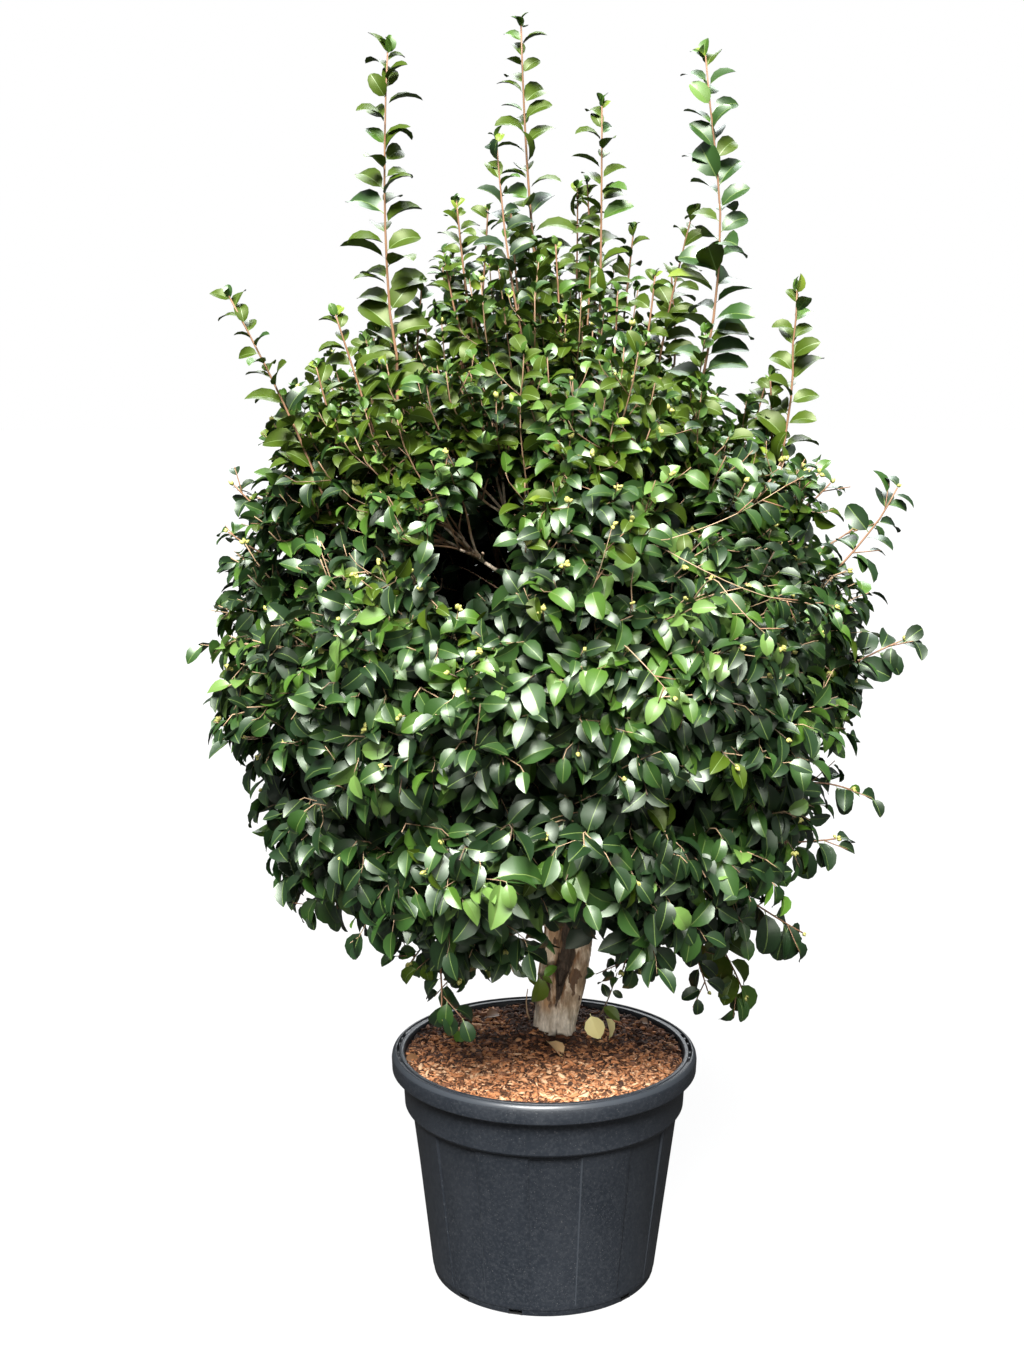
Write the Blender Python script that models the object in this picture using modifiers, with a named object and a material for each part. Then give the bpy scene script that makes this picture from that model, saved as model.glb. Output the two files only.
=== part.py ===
"""Camellia shrub in a round nursery pot, 2.8 m tall with its pot.

Metres, +Z up, origin at the middle of the pot's underside, -Y is the front.
The trunk stands on the potting mix, splits into three stems, and boughs run from the stems into the
masses of foliage. Upright shoots and side sprays stand in the masses that carry them.
"""

import math

import bmesh
import bpy
from mathutils import Matrix, Vector, noise

CLEARANCE = 0.0004  # gap between neighbouring solids
SOCKET_GROWTH = 0.0006  # how far a cutter is grown along its normals
WELD_DISTANCE = 1e-5
PLANE_TOLERANCE = 1e-6
SHARP_ANGLE = math.radians(35)

# Pot
POT_HEIGHT = 0.532
RIM_RADIUS = 0.350
RIM_DEPTH = 0.042
RIM_LIP = 0.024  # width of the rim's flat top
BAND_RADIUS = 0.318
BAND_FOOT_Z = 0.405
BAND_STEP = 0.012
BASE_RADIUS = 0.255
BAND_STEP_HEIGHT = 0.008
BODY_TOP_RADIUS = BAND_RADIUS - BAND_STEP
POT_WALL = 0.006
POT_FLOOR = 0.006
POT_EDGE = 0.005  # chamfer of the rim and of the foot
POT_SIDES = 48
PANEL_COUNT = 16  # raised and sunk panels take turns
PANEL_DEPTH = 0.0025
PANEL_FIRST_EDGE = math.radians(-97.5)
PANEL_FOOT_Z = 0.024
PANEL_TOP_Z = BAND_FOOT_Z - 0.012
CUTTER_REACH = 0.02  # how far a cutter stands out of the pot
NOTCH_PLACES = 12
NOTCH_GROUP = 3  # of each three places the second has no notch
NOTCH_WIDTH = 0.030
NOTCH_FOOT_Z = 0.002
NOTCH_TOP_Z = 0.013
NOTCH_FIRST = math.radians(-105.0)

# Potting mix
MIX_EDGE_Z = 0.517
MIX_CROWN_Z = 0.525
MIX_FLAT_RADIUS = 0.20
MIX_EDGE_GAP = 0.004
MIX_SLOPE_AT = 0.6  # share of the way from the flat to the edge, and the share of the fall reached there
MIX_SLOPE_FALL = 0.4

# Trunk and stems
TRUNK_FOOT = Vector((0.028, 0.115, MIX_CROWN_Z + CLEARANCE))
TRUNK_FORK = Vector((0.042, 0.112, 0.655))
TRUNK_FOOT_RADIUS = 0.0495
TRUNK_WAIST_RADIUS = 0.0465
TRUNK_FORK_RADIUS = 0.060
TRUNK_WAIST_AT = 0.22  # share of the way up
TRUNK_FLATTENING = 0.84  # depth as a share of width
TRUNK_LOBES = 0.05  # three low ridges
TRUNK_SPREAD = 0.04  # further widening towards the fork
TRUNK_SIDES = 14
TRUNK_LEVELS = 5
STEM_TIP_RADIUS = 0.011
STEM_TAPER = 0.8  # under 1 thins the stem sooner
STEM_BEND_AT = 0.55  # share of the way from waist to knee
STEM_SIDES = 8
BOUGH_FOOT_RADIUS = 0.0100
BOUGH_TIP_RADIUS = 0.0060
BOUGH_SIDES = 6
BOUGH_ARCH = 0.10  # rise of a bough's middle as a share of its length
LIMB_STEPS = 2  # straight pieces from one point of a limb to the next
LIMB_SPARE = 0.03  # length cut off again where a stem's foot is made flat
ENTRY_DEPTH = 0.035  # how far a limb runs into its mass

# Crown: a barrel-shaped dome, a little uneven
CROWN_CENTRE = Vector((-0.010, 0.0, 1.450))
CROWN_HALF_WIDTH = 0.745
CROWN_HALF_DEPTH = 0.720
CROWN_RISE = 0.775  # from the middle to the top
CROWN_DROP = 0.650  # from the middle to the underside
UPPER_FULLNESS = 2.35  # 2 is an ellipsoid, more is boxier
LOWER_FULLNESS = 3.0
CROWN_LUMP = 0.035
CROWN_LUMP_SIZE = 0.30
MASS_ROUNDING = 9.0  # lower leaves deeper folds between masses
MASS_SEGMENTS, MASS_RINGS = 14, 9
MASS_WANDER = 12  # degrees that a mass may lie off its regular place
MASS_SHARE_WANDER = 0.05  # the same for its share of the way out
MASS_NOISE_SEED = 11
MASS_NOISE_STEP = (3.1, 0.17, 1.7)  # how the wandering changes from mass to mass and tier to tier
NEARLY_BESIDE = 0.01  # cosine below which a neighbour lies beside a direction and not ahead of it
REACH_LIMIT = 2.0  # further than any foliage
REACH_HALVINGS = 24

# Swellings and hollows of the crown: azimuth, elevation and spread in degrees, and share of the reach
CROWN_SWELLINGS = (
    (180, 52, 17, 0.02),
    (0, 54, 17, -0.17),
    (0, 33, 12, -0.06),
    (0, 5, 12, 0.03),
    (0, -19, 8, -0.12),
    (0, -36, 10, -0.05),
    (180, 26, 12, -0.05),
    (180, -24, 10, -0.06),
)

# Tiers of masses: name, elevation and first azimuth in degrees, count, share of the crown's reach
MASS_TIERS = (
    ("low", -38, -126, 5, 0.66),
    ("middle", -1, -62, 6, 0.64),
    ("upper", 43, -100, 4, 0.64),
    ("top", 90, 0, 1, 0.66),
)
HOLLOW_SEEDS = (  # middles of the bare, open space that the limbs cross
    Vector((0.04, 0.11, 0.66)),
    Vector((0.04, 0.10, 0.82)),
    Vector((0.01, 0.05, 1.12)),
    Vector((0.00, 0.03, 1.38)),
)

# Stems: name, foot, waist, knee, foot radius, and the mass that it ends in
STEMS = (
    ("stem_left", (0.006, 0.106), (0.022, 0.100, 0.790), (-0.060, 0.020, 1.10), 0.0235, "foliage_upper_4"),
    ("stem_right", (0.078, 0.106), (0.096, 0.104, 0.784), (0.130, 0.020, 1.10), 0.0272, "foliage_upper_2"),
    ("stem_back", (0.040, 0.142), (0.046, 0.165, 0.790), (0.020, 0.150, 1.10), 0.0225, "foliage_upper_3"),
)
# Boughs: the mass that each ends in, its stem, and how far up the stem it leaves, from 0 to 1
BOUGHS = (
    ("foliage_low_1", "stem_left", 0.38),
    ("foliage_low_2", "stem_right", 0.34),
    ("foliage_low_3", "stem_back", 0.34),
    ("foliage_low_4", "stem_back", 0.46),
    ("foliage_low_5", "stem_left", 0.30),
    ("foliage_middle_1", "stem_right", 0.56),
    ("foliage_middle_2", "stem_right", 0.48),
    ("foliage_middle_3", "stem_back", 0.56),
    ("foliage_middle_4", "stem_back", 0.64),
    ("foliage_middle_5", "stem_left", 0.50),
    ("foliage_middle_6", "stem_left", 0.60),
    ("foliage_upper_1", "stem_right", 0.70),
    ("foliage_top", "stem_back", 0.74),
)

SHOOT_SIDES = 6
SHOOT_KNOT_SPACING = 0.11
SHOOT_UNEVENNESS = 0.22
SHOOT_NOISE_STEP = (9.0, 7.0, 1.3)  # how the unevenness changes with the foot's place and from knot to knot
SHOOT_END = 0.55  # width of a shoot's two ends as a share of its leaves' reach

# Shoots above the crown and sprays at its sides: foot, tip, sideways bow, and leaf reach at foot and tip
SHOOTS = (
    ("shoot_tall_left", (-0.312, -0.12, 1.99), (-0.325, -0.12, 2.735), (-0.018, 0, 0), 0.066, 0.044),
    ("shoot_tall_centre", (0.006, -0.05, 2.03), (-0.056, -0.05, 2.800), (-0.012, 0, 0), 0.064, 0.040),
    ("shoot_tall_right", (0.272, -0.20, 1.85), (0.308, -0.20, 2.715), (0.058, 0, 0), 0.066, 0.044),
    ("shoot_right_of_centre", (0.112, -0.02, 2.06), (0.115, -0.02, 2.625), (0.002, 0, 0), 0.062, 0.040),
    ("shoot_left_of_centre", (-0.030, -0.20, 2.02), (-0.106, -0.14, 2.540), (-0.012, 0, 0), 0.060, 0.042),
    ("shoot_short_left", (-0.140, -0.06, 2.06), (-0.190, -0.06, 2.410), (-0.006, 0, 0), 0.060, 0.042),
    ("shoot_short_centre", (0.060, 0.11, 2.06), (0.069, 0.10, 2.465), (0.004, 0, 0), 0.056, 0.040),
    ("shoot_short_right", (0.222, -0.05, 1.96), (0.305, -0.07, 2.395), (-0.008, 0, 0), 0.060, 0.042),
    ("shoot_far_right", (0.480, -0.10, 1.77), (0.522, -0.10, 2.240), (0.014, 0, 0), 0.060, 0.040),
    ("shoot_far_left", (-0.440, -0.20, 1.74), (-0.656, -0.20, 2.225), (0.012, 0, 0), 0.062, 0.040),
    ("shoot_shoulder_left", (-0.350, -0.27, 1.93), (-0.430, -0.27, 2.184), (0.000, 0, 0), 0.056, 0.040),
    ("spray_right_upper", (0.560, -0.05, 1.58), (0.780, -0.05, 1.862), (0.020, 0, -0.020), 0.060, 0.040),
    ("spray_right_middle", (0.600, -0.10, 1.40), (0.820, -0.10, 1.510), (0.000, 0, 0.010), 0.056, 0.040),
    ("spray_right_lower", (0.470, -0.16, 1.06), (0.690, -0.15, 1.075), (0.000, 0, -0.010), 0.058, 0.042),
    ("spray_foot_right", (0.370, -0.22, 1.00), (0.610, -0.22, 0.845), (0.000, 0, -0.015), 0.060, 0.045),
    ("spray_hanging_right", (0.330, -0.10, 0.90), (0.466, -0.10, 0.635), (0.010, 0, 0.010), 0.054, 0.042),
    ("spray_hanging_left", (-0.240, -0.34, 1.00), (-0.222, -0.38, 0.690), (0.010, 0, 0), 0.060, 0.045),
    ("spray_back_left", (-0.400, 0.46, 1.48), (-0.540, 0.640, 1.640), (0, 0, 0.010), 0.060, 0.042),
    ("spray_back_right", (0.360, 0.50, 1.30), (0.470, 0.700, 1.380), (0, 0, 0.010), 0.060, 0.042),
    ("shoot_back", (-0.120, 0.40, 1.84), (-0.170, 0.500, 2.215), (0, 0.02, 0), 0.060, 0.042),
)


def new_collection(name, helper=False):
    made = bpy.data.collections.new(name)
    bpy.context.scene.collection.children.link(made)
    made.hide_render = helper
    return made


def new_material(name, colour, roughness, metallic=0.0):
    made = bpy.data.materials.new(name)
    made.use_nodes = True
    shader = made.node_tree.nodes["Principled BSDF"]
    shader.inputs["Base Color"].default_value = (*colour, 1.0)
    shader.inputs["Roughness"].default_value = roughness
    shader.inputs["Metallic"].default_value = metallic
    return made


def add_object(name, mesh, collection, material=None):
    made = bpy.data.objects.new(name, mesh)
    if material:
        mesh.materials.clear()
        mesh.materials.append(material)
    collection.objects.link(made)
    return made


def mesh_from(bm, name):
    bmesh.ops.recalc_face_normals(bm, faces=bm.faces)
    made = bpy.data.meshes.new(name)
    bm.to_mesh(made)
    bm.free()
    return made


def evaluated_mesh(obj, name):
    """The object's mesh with its modifiers done, closed where caps meet sides, and the object gone."""
    bpy.context.view_layer.update()
    made = bpy.data.meshes.new_from_object(obj.evaluated_get(bpy.context.evaluated_depsgraph_get()))
    made.name = name
    bpy.data.objects.remove(obj)
    bm = bmesh.new()
    bm.from_mesh(made)
    bmesh.ops.remove_doubles(bm, verts=bm.verts, dist=WELD_DISTANCE)
    bmesh.ops.recalc_face_normals(bm, faces=bm.faces)
    bm.to_mesh(made)
    bm.free()
    return made


def turned_mesh(name, profile, sides):
    """A solid of revolution from (radius, height) points that run down the outer side."""
    outline = bpy.data.meshes.new(name)
    points = [(radius, 0.0, height) for radius, height in profile]
    outline.from_pydata(points, [(i, i + 1) for i in range(len(points) - 1)], [])
    turned = add_object(name + "_turned", outline, bpy.context.scene.collection)
    screw = turned.modifiers.new("Screw", "SCREW")
    screw.steps = screw.render_steps = sides
    screw.use_merge_vertices = True
    screw.merge_threshold = 0.0001
    return evaluated_mesh(turned, name)


def cut(obj, cutter):
    cutter.hide_render = True
    cutter.display_type = "WIRE"
    boolean = obj.modifiers.new("Cut " + cutter.name, "BOOLEAN")
    boolean.operation = "DIFFERENCE"
    boolean.object = cutter


def grown_copy(obj, collection):
    """A cutter that stands a little outside the object's own faces."""
    bm = bmesh.new()
    bm.from_mesh(obj.data)
    bmesh.ops.recalc_face_normals(bm, faces=bm.faces)
    bm.normal_update()
    for vertex, normal in [(v, v.normal.copy()) for v in bm.verts]:
        vertex.co += normal * SOCKET_GROWTH
    return add_object(obj.name + "_socket", mesh_from(bm, obj.name + "_socket"), collection)


def boxes_meet(first, second):
    corners = [[Vector(v.co) for v in obj.data.vertices] for obj in (first, second)]
    lows = [Vector(min(c[axis] for c in points) for axis in range(3)) for points in corners]
    highs = [Vector(max(c[axis] for c in points) for axis in range(3)) for points in corners]
    return all(lows[0][axis] < highs[1][axis] and lows[1][axis] < highs[0][axis] for axis in range(3))


def blend(first, second, share):
    return first + (second - first) * share


def direction_of(azimuth, elevation):
    """A unit vector from angles in degrees, azimuth 0 along +X and 90 along +Y."""
    turn, rise = math.radians(azimuth), math.radians(elevation)
    return Vector((math.cos(turn) * math.cos(rise), math.sin(turn) * math.cos(rise), math.sin(rise)))


# Pot and potting mix -------------------------------------------------------------------------------


def body_radius(height):
    return BASE_RADIUS + (BODY_TOP_RADIUS - BASE_RADIUS) * height / BAND_FOOT_Z


def pot_profile():
    rim_inner = RIM_RADIUS - RIM_LIP
    rim_foot = POT_HEIGHT - RIM_DEPTH
    return (
        (0.0, POT_FLOOR),
        (body_radius(POT_FLOOR) - POT_WALL, POT_FLOOR),
        (body_radius(BAND_FOOT_Z) - POT_WALL, BAND_FOOT_Z),
        (BAND_RADIUS - POT_WALL, rim_foot),
        (rim_inner, POT_HEIGHT - POT_EDGE),
        (rim_inner + POT_EDGE, POT_HEIGHT),
        (RIM_RADIUS - POT_EDGE, POT_HEIGHT),
        (RIM_RADIUS, POT_HEIGHT - POT_EDGE),
        (RIM_RADIUS, rim_foot),
        (BAND_RADIUS, rim_foot - POT_EDGE),
        (BAND_RADIUS - POT_EDGE, BAND_FOOT_Z),
        (BODY_TOP_RADIUS, BAND_FOOT_Z - BAND_STEP_HEIGHT),
        (BASE_RADIUS, POT_EDGE),
        (BASE_RADIUS - POT_EDGE, 0.0),
        (0.0, 0.0),
    )


def panel_cutter(index, collection):
    """A curved slab whose inner face is the floor of one sunk panel."""
    span = math.tau / PANEL_COUNT
    foot, top = body_radius(PANEL_FOOT_Z) - PANEL_DEPTH, body_radius(PANEL_TOP_Z) - PANEL_DEPTH
    outline = (
        (foot, PANEL_FOOT_Z),
        (foot + CUTTER_REACH, PANEL_FOOT_Z),
        (top + CUTTER_REACH, PANEL_TOP_Z),
        (top, PANEL_TOP_Z),
    )
    bm = bmesh.new()
    face = bm.faces.new([bm.verts.new((radius, 0.0, height)) for radius, height in outline])
    start = PANEL_FIRST_EDGE + 2 * index * span
    bmesh.ops.rotate(bm, verts=bm.verts, cent=(0, 0, 0), matrix=Matrix.Rotation(start, 3, "Z"))
    whole = [*bm.verts, *bm.edges, face]
    bmesh.ops.spin(bm, geom=whole, cent=(0, 0, 0), axis=(0, 0, 1), angle=span, steps=POT_SIDES // PANEL_COUNT)
    return add_object(f"panel_cutter_{index}", mesh_from(bm, f"panel_cutter_{index}"), collection)


def notch_cutter(index, collection):
    bm = bmesh.new()
    bmesh.ops.create_cube(bm, size=1.0)
    turn = NOTCH_FIRST + index * math.tau / NOTCH_PLACES
    height = NOTCH_TOP_Z - NOTCH_FOOT_Z
    bmesh.ops.scale(bm, vec=(2 * CUTTER_REACH, NOTCH_WIDTH, height), verts=bm.verts)
    bmesh.ops.translate(bm, vec=(BASE_RADIUS, 0, NOTCH_FOOT_Z + height / 2), verts=bm.verts)
    bmesh.ops.rotate(bm, verts=bm.verts, cent=(0, 0, 0), matrix=Matrix.Rotation(turn, 3, "Z"))
    return add_object(f"notch_cutter_{index}", mesh_from(bm, f"notch_cutter_{index}"), collection)


def make_pot(parts, cutters, material):
    pot = add_object("pot", turned_mesh("pot", pot_profile(), POT_SIDES), parts, material)
    for index in range(PANEL_COUNT // 2):
        cut(pot, panel_cutter(index, cutters))
    for index in range(NOTCH_PLACES):
        if index % NOTCH_GROUP != 1:
            cut(pot, notch_cutter(index, cutters))
    return pot


def make_potting_mix(parts, material):
    inset = POT_WALL + CLEARANCE
    floor = POT_FLOOR + CLEARANCE
    edge_radius = BAND_RADIUS - inset - MIX_EDGE_GAP
    slope_radius = blend(MIX_FLAT_RADIUS, edge_radius, MIX_SLOPE_AT)
    profile = (
        (0.0, MIX_CROWN_Z),
        (MIX_FLAT_RADIUS, MIX_CROWN_Z),
        (slope_radius, blend(MIX_CROWN_Z, MIX_EDGE_Z, MIX_SLOPE_FALL)),
        (edge_radius, MIX_EDGE_Z),
        (BAND_RADIUS - inset, POT_HEIGHT - RIM_DEPTH),
        (body_radius(BAND_FOOT_Z) - inset, BAND_FOOT_Z),
        (body_radius(floor) - inset, floor),
        (0.0, floor),
    )
    return add_object("potting_mix", turned_mesh("potting_mix", profile, POT_SIDES), parts, material)


# Limbs ---------------------------------------------------------------------------------------------


def trunk_section(height):
    """Middle and half width of the trunk at a height: a slight foot flare, a waist, and a wide fork."""
    share = (height - TRUNK_FOOT.z) / (TRUNK_FORK.z - TRUNK_FOOT.z)
    middle = blend(TRUNK_FOOT, TRUNK_FORK, share)
    if share < TRUNK_WAIST_AT:
        return middle, blend(TRUNK_FOOT_RADIUS, TRUNK_WAIST_RADIUS, share / TRUNK_WAIST_AT)
    upper = (share - TRUNK_WAIST_AT) / (1 - TRUNK_WAIST_AT)
    return middle, blend(TRUNK_WAIST_RADIUS, TRUNK_FORK_RADIUS, upper)


def make_trunk(parts, material):
    """Flat at the foot and at the fork, with three low ridges that lead up into the stems."""
    length = TRUNK_FORK.z - TRUNK_FOOT.z
    bm = bmesh.new()
    bmesh.ops.create_cone(
        bm, cap_ends=True, segments=TRUNK_SIDES, radius1=1.0, radius2=1.0, depth=length,
        matrix=Matrix.Translation((0, 0, TRUNK_FOOT.z + length / 2)),
    )
    for step in range(1, TRUNK_LEVELS):
        plane = (0, 0, TRUNK_FOOT.z + length * step / TRUNK_LEVELS)
        whole = [*bm.verts, *bm.edges, *bm.faces]
        bmesh.ops.bisect_plane(bm, geom=whole, dist=PLANE_TOLERANCE, plane_co=plane, plane_no=(0, 0, 1))
    for vertex in bm.verts:
        middle, radius = trunk_section(vertex.co.z)
        turn = math.atan2(vertex.co.y, vertex.co.x)
        share = (vertex.co.z - TRUNK_FOOT.z) / length
        lobe = 1 + TRUNK_LOBES * math.sin(3 * turn) + TRUNK_SPREAD * share * math.cos(2 * turn)
        vertex.co.x = middle.x + radius * lobe * math.cos(turn)
        vertex.co.y = middle.y + radius * lobe * TRUNK_FLATTENING * math.sin(turn)
    return add_object("trunk", mesh_from(bm, "trunk"), parts, material)


def along_path(knots, share):
    """A place on the smooth line through the knots, which may be points or plain numbers."""
    along = share * (len(knots) - 1)
    index = min(int(along), len(knots) - 2)
    first, second = knots[index], knots[index + 1]
    before = knots[max(index - 1, 0)]
    after = knots[min(index + 2, len(knots) - 1)]
    t = along - index
    return 0.5 * (
        2 * first
        + (second - before) * t
        + (2 * before - 5 * first + 4 * second - after) * t * t
        + (3 * first - before - 3 * second + after) * t ** 3
    )


def tube(name, points, radii, sides, steps, collection, material=None):
    """A tapering limb through the points, round in section, with some steps from each point to the next."""
    curve = bpy.data.curves.new(name, "CURVE")
    curve.dimensions = "3D"
    curve.bevel_depth = 1.0
    curve.bevel_resolution = sides // 2 - 2
    curve.use_fill_caps = True
    spline = curve.splines.new("POLY")
    count = (len(points) - 1) * steps
    spline.points.add(count)
    for index, knot in enumerate(spline.points):
        knot.co = (*along_path(points, index / count), 1.0)
        knot.radius = along_path(radii, index / count)
    guide = bpy.data.objects.new(name + "_guide", curve)
    bpy.context.scene.collection.objects.link(guide)
    return add_object(name, evaluated_mesh(guide, name), collection, material)


def flatten_foot(obj, height):
    """Cuts a limb's foot flat at a height."""
    bm = bmesh.new()
    bm.from_mesh(obj.data)
    whole = [*bm.verts, *bm.edges, *bm.faces]
    found = bmesh.ops.bisect_plane(
        bm, geom=whole, dist=PLANE_TOLERANCE, plane_co=(0, 0, height), plane_no=(0, 0, 1), clear_inner=True
    )
    rim = [item for item in found["geom_cut"] if isinstance(item, bmesh.types.BMEdge)]
    bmesh.ops.holes_fill(bm, edges=rim)
    bmesh.ops.recalc_face_normals(bm, faces=bm.faces)
    bm.to_mesh(obj.data)
    bm.free()


def entry_point(seed, seeds, start):
    """Where a limb that comes from start ends: a little way inside the mass of this seed."""
    inward = (start - seed).normalized()
    return seed + inward * (reach_to_neighbours(seed, seeds, inward) - ENTRY_DEPTH)


def make_stem(row, seeds, parts, material):
    name, foot, waist, knee, foot_radius, mass = row
    base = Vector((foot[0], foot[1], TRUNK_FORK.z))
    knee = Vector(knee)
    end = entry_point(seeds[mass], seeds, knee)
    waist = Vector(waist)
    points = [base, waist, blend(waist, knee, STEM_BEND_AT), knee, blend(knee, end, 0.5), end]
    below = base + (base - waist).normalized() * LIMB_SPARE
    last = len(points)
    radii = [blend(foot_radius, STEM_TIP_RADIUS, (i / last) ** STEM_TAPER) for i in range(last + 1)]
    stem = tube(name, [below, *points], radii, STEM_SIDES, LIMB_STEPS, parts, material)
    flatten_foot(stem, TRUNK_FORK.z + CLEARANCE)
    return stem, points


def make_bough(row, stems, seeds, parts, cutters, material):
    mass, stem_name, height_share = row
    stem, points = stems[stem_name]
    steps = (len(points) - 1) * LIMB_STEPS
    start = along_path(points, round(height_share * steps) / steps)
    end = entry_point(seeds[mass], seeds, start)
    middle = blend(start, end, 0.5) + Vector((0, 0, BOUGH_ARCH * (end - start).length))
    radii = [blend(BOUGH_FOOT_RADIUS, BOUGH_TIP_RADIUS, share) for share in (0, 0.5, 1)]
    name = "bough_" + mass.removeprefix("foliage_")
    bough = tube(name, [start, middle, end], radii, BOUGH_SIDES, LIMB_STEPS, parts, material)
    cut(bough, grown_copy(stem, cutters))
    return bough


# Foliage -------------------------------------------------------------------------------------------


def crown_swelling(direction):
    """How much further or less far than the plain dome the foliage reaches in a direction."""
    reach = 1 + CROWN_LUMP * noise.noise(direction / CROWN_LUMP_SIZE)
    for azimuth, elevation, spread, amount in CROWN_SWELLINGS:
        away = math.degrees(direction.angle(direction_of(azimuth, elevation)))
        reach += amount * math.exp(-((away / spread) ** 2))
    return reach


def crown_level(point):
    """Under 1 inside the crown, over 1 outside it."""
    offset = point - CROWN_CENTRE
    swelling = crown_swelling(offset.normalized())
    across = math.hypot(offset.x / CROWN_HALF_WIDTH, offset.y / CROWN_HALF_DEPTH) / swelling
    tall, fullness = (CROWN_RISE, UPPER_FULLNESS) if offset.z > 0 else (CROWN_DROP, LOWER_FULLNESS)
    return across ** fullness + (abs(offset.z) / tall / swelling) ** fullness


def reach_to_crown(start, direction):
    near, far = 0.0, REACH_LIMIT
    for _ in range(REACH_HALVINGS):
        middle = (near + far) / 2
        if crown_level(start + direction * middle) < 1:
            near = middle
        else:
            far = middle
    return near


def neighbour_reaches(seed, seeds, direction):
    """Distances to the planes halfway to each other seed that lies ahead."""
    for other in [*seeds.values(), *HOLLOW_SEEDS]:
        between = other - seed
        if between.length == 0:
            continue
        ahead = direction.dot(between.normalized())
        if ahead > NEARLY_BESIDE:
            yield (between.length / 2 - CLEARANCE / 2) / ahead


def reach_to_neighbours(seed, seeds, direction):
    return min(neighbour_reaches(seed, seeds, direction))


def mass_seeds():
    """The middle of each mass, tier by tier, each a little off its regular place."""
    noise.seed_set(MASS_NOISE_SEED)
    seeds = {}
    for tier, elevation, first, count, share in MASS_TIERS:
        for index in range(count):
            name = f"foliage_{tier}_{index + 1}" if count > 1 else f"foliage_{tier}"
            wander = noise.noise_vector(Vector((index, elevation, count)) * Vector(MASS_NOISE_STEP))
            azimuth = first + index * 360 / count + MASS_WANDER * wander.x
            direction = direction_of(azimuth, elevation + MASS_WANDER / 2 * wander.y)
            reach = reach_to_crown(CROWN_CENTRE, direction)
            seeds[name] = CROWN_CENTRE + direction * reach * (share + MASS_SHARE_WANDER * wander.z)
    return seeds


def make_mass(name, seeds, parts, material):
    """A lump round its seed, rounded off where it comes near the crown's surface and its neighbours."""
    seed = seeds[name]
    bm = bmesh.new()
    bmesh.ops.create_uvsphere(bm, u_segments=MASS_SEGMENTS, v_segments=MASS_RINGS, radius=1.0)
    outward = (seed - CROWN_CENTRE).to_track_quat("Z", "X")
    for vertex in bm.verts:
        direction = outward @ vertex.co.normalized()
        reaches = [reach_to_crown(seed, direction), *neighbour_reaches(seed, seeds, direction)]
        rounded = sum(reach ** -MASS_ROUNDING for reach in reaches) ** (-1 / MASS_ROUNDING)
        vertex.co = seed + direction * rounded
    return add_object(name, mesh_from(bm, name), parts, material)


def make_shoot(row, parts, material):
    """The leafy sleeve round one shoot: a slim, uneven spindle."""
    name, foot, tip, bow, foot_reach, tip_reach = row
    foot, tip, bow = Vector(foot), Vector(tip), Vector(bow)
    knots = max(3, round((tip - foot).length / SHOOT_KNOT_SPACING))
    points, radii = [], []
    for index in range(knots + 1):
        share = index / knots
        points.append(blend(foot, tip, share) + bow * math.sin(math.pi * share))
        noise_place = Vector((foot.x, foot.z, index)) * Vector(SHOOT_NOISE_STEP)
        uneven = 1 + SHOOT_UNEVENNESS * noise.noise(noise_place)
        closing = SHOOT_END if index in (0, knots) else 1.0
        radii.append(blend(foot_reach, tip_reach, share) * uneven * closing)
    return tube(name, points, radii, SHOOT_SIDES, 1, parts, material)


def main():
    for obj in list(bpy.data.objects):
        bpy.data.objects.remove(obj)
    parts = new_collection("camellia_in_pot")
    cutters = new_collection("cutters", helper=True)

    plastic = new_material("dark_pot_plastic", (0.018, 0.022, 0.030), 0.55)
    bark_chips = new_material("bark_chips", (0.22, 0.075, 0.030), 0.95)
    bark = new_material("grey_tan_bark", (0.30, 0.22, 0.15), 0.85)
    leaves = new_material("camellia_leaves", (0.035, 0.120, 0.030), 0.35)
    young_leaves = new_material("young_camellia_leaves", (0.090, 0.230, 0.030), 0.35)

    make_pot(parts, cutters, plastic)
    make_potting_mix(parts, bark_chips)
    make_trunk(parts, bark)

    seeds = mass_seeds()
    stems = {row[0]: make_stem(row, seeds, parts, bark) for row in STEMS}
    limbs = [stem for stem, _ in stems.values()]
    limbs += [make_bough(row, stems, seeds, parts, cutters, bark) for row in BOUGHS]
    shoots = [make_shoot(row, parts, young_leaves) for row in SHOOTS]
    sockets = [grown_copy(obj, cutters) for obj in limbs + shoots]
    for name in seeds:
        mass = make_mass(name, seeds, parts, leaves)
        for socket in sockets:
            if boxes_meet(mass, socket):
                cut(mass, socket)

    for obj in parts.objects:
        obj.data.shade_smooth()
        obj.data.set_sharp_from_angle(angle=SHARP_ANGLE)


main()
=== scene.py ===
"""Camellia shrub in a round nursery pot: its looks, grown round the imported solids.

Metres, +Z up, -Y is the front. The pot, the potting mix and the bark are modelled pieces. Branches,
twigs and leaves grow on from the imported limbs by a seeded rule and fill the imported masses.
"""

import math

import bmesh
import bpy
import numpy as np
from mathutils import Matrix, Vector, noise
from mathutils.bvhtree import BVHTree


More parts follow.
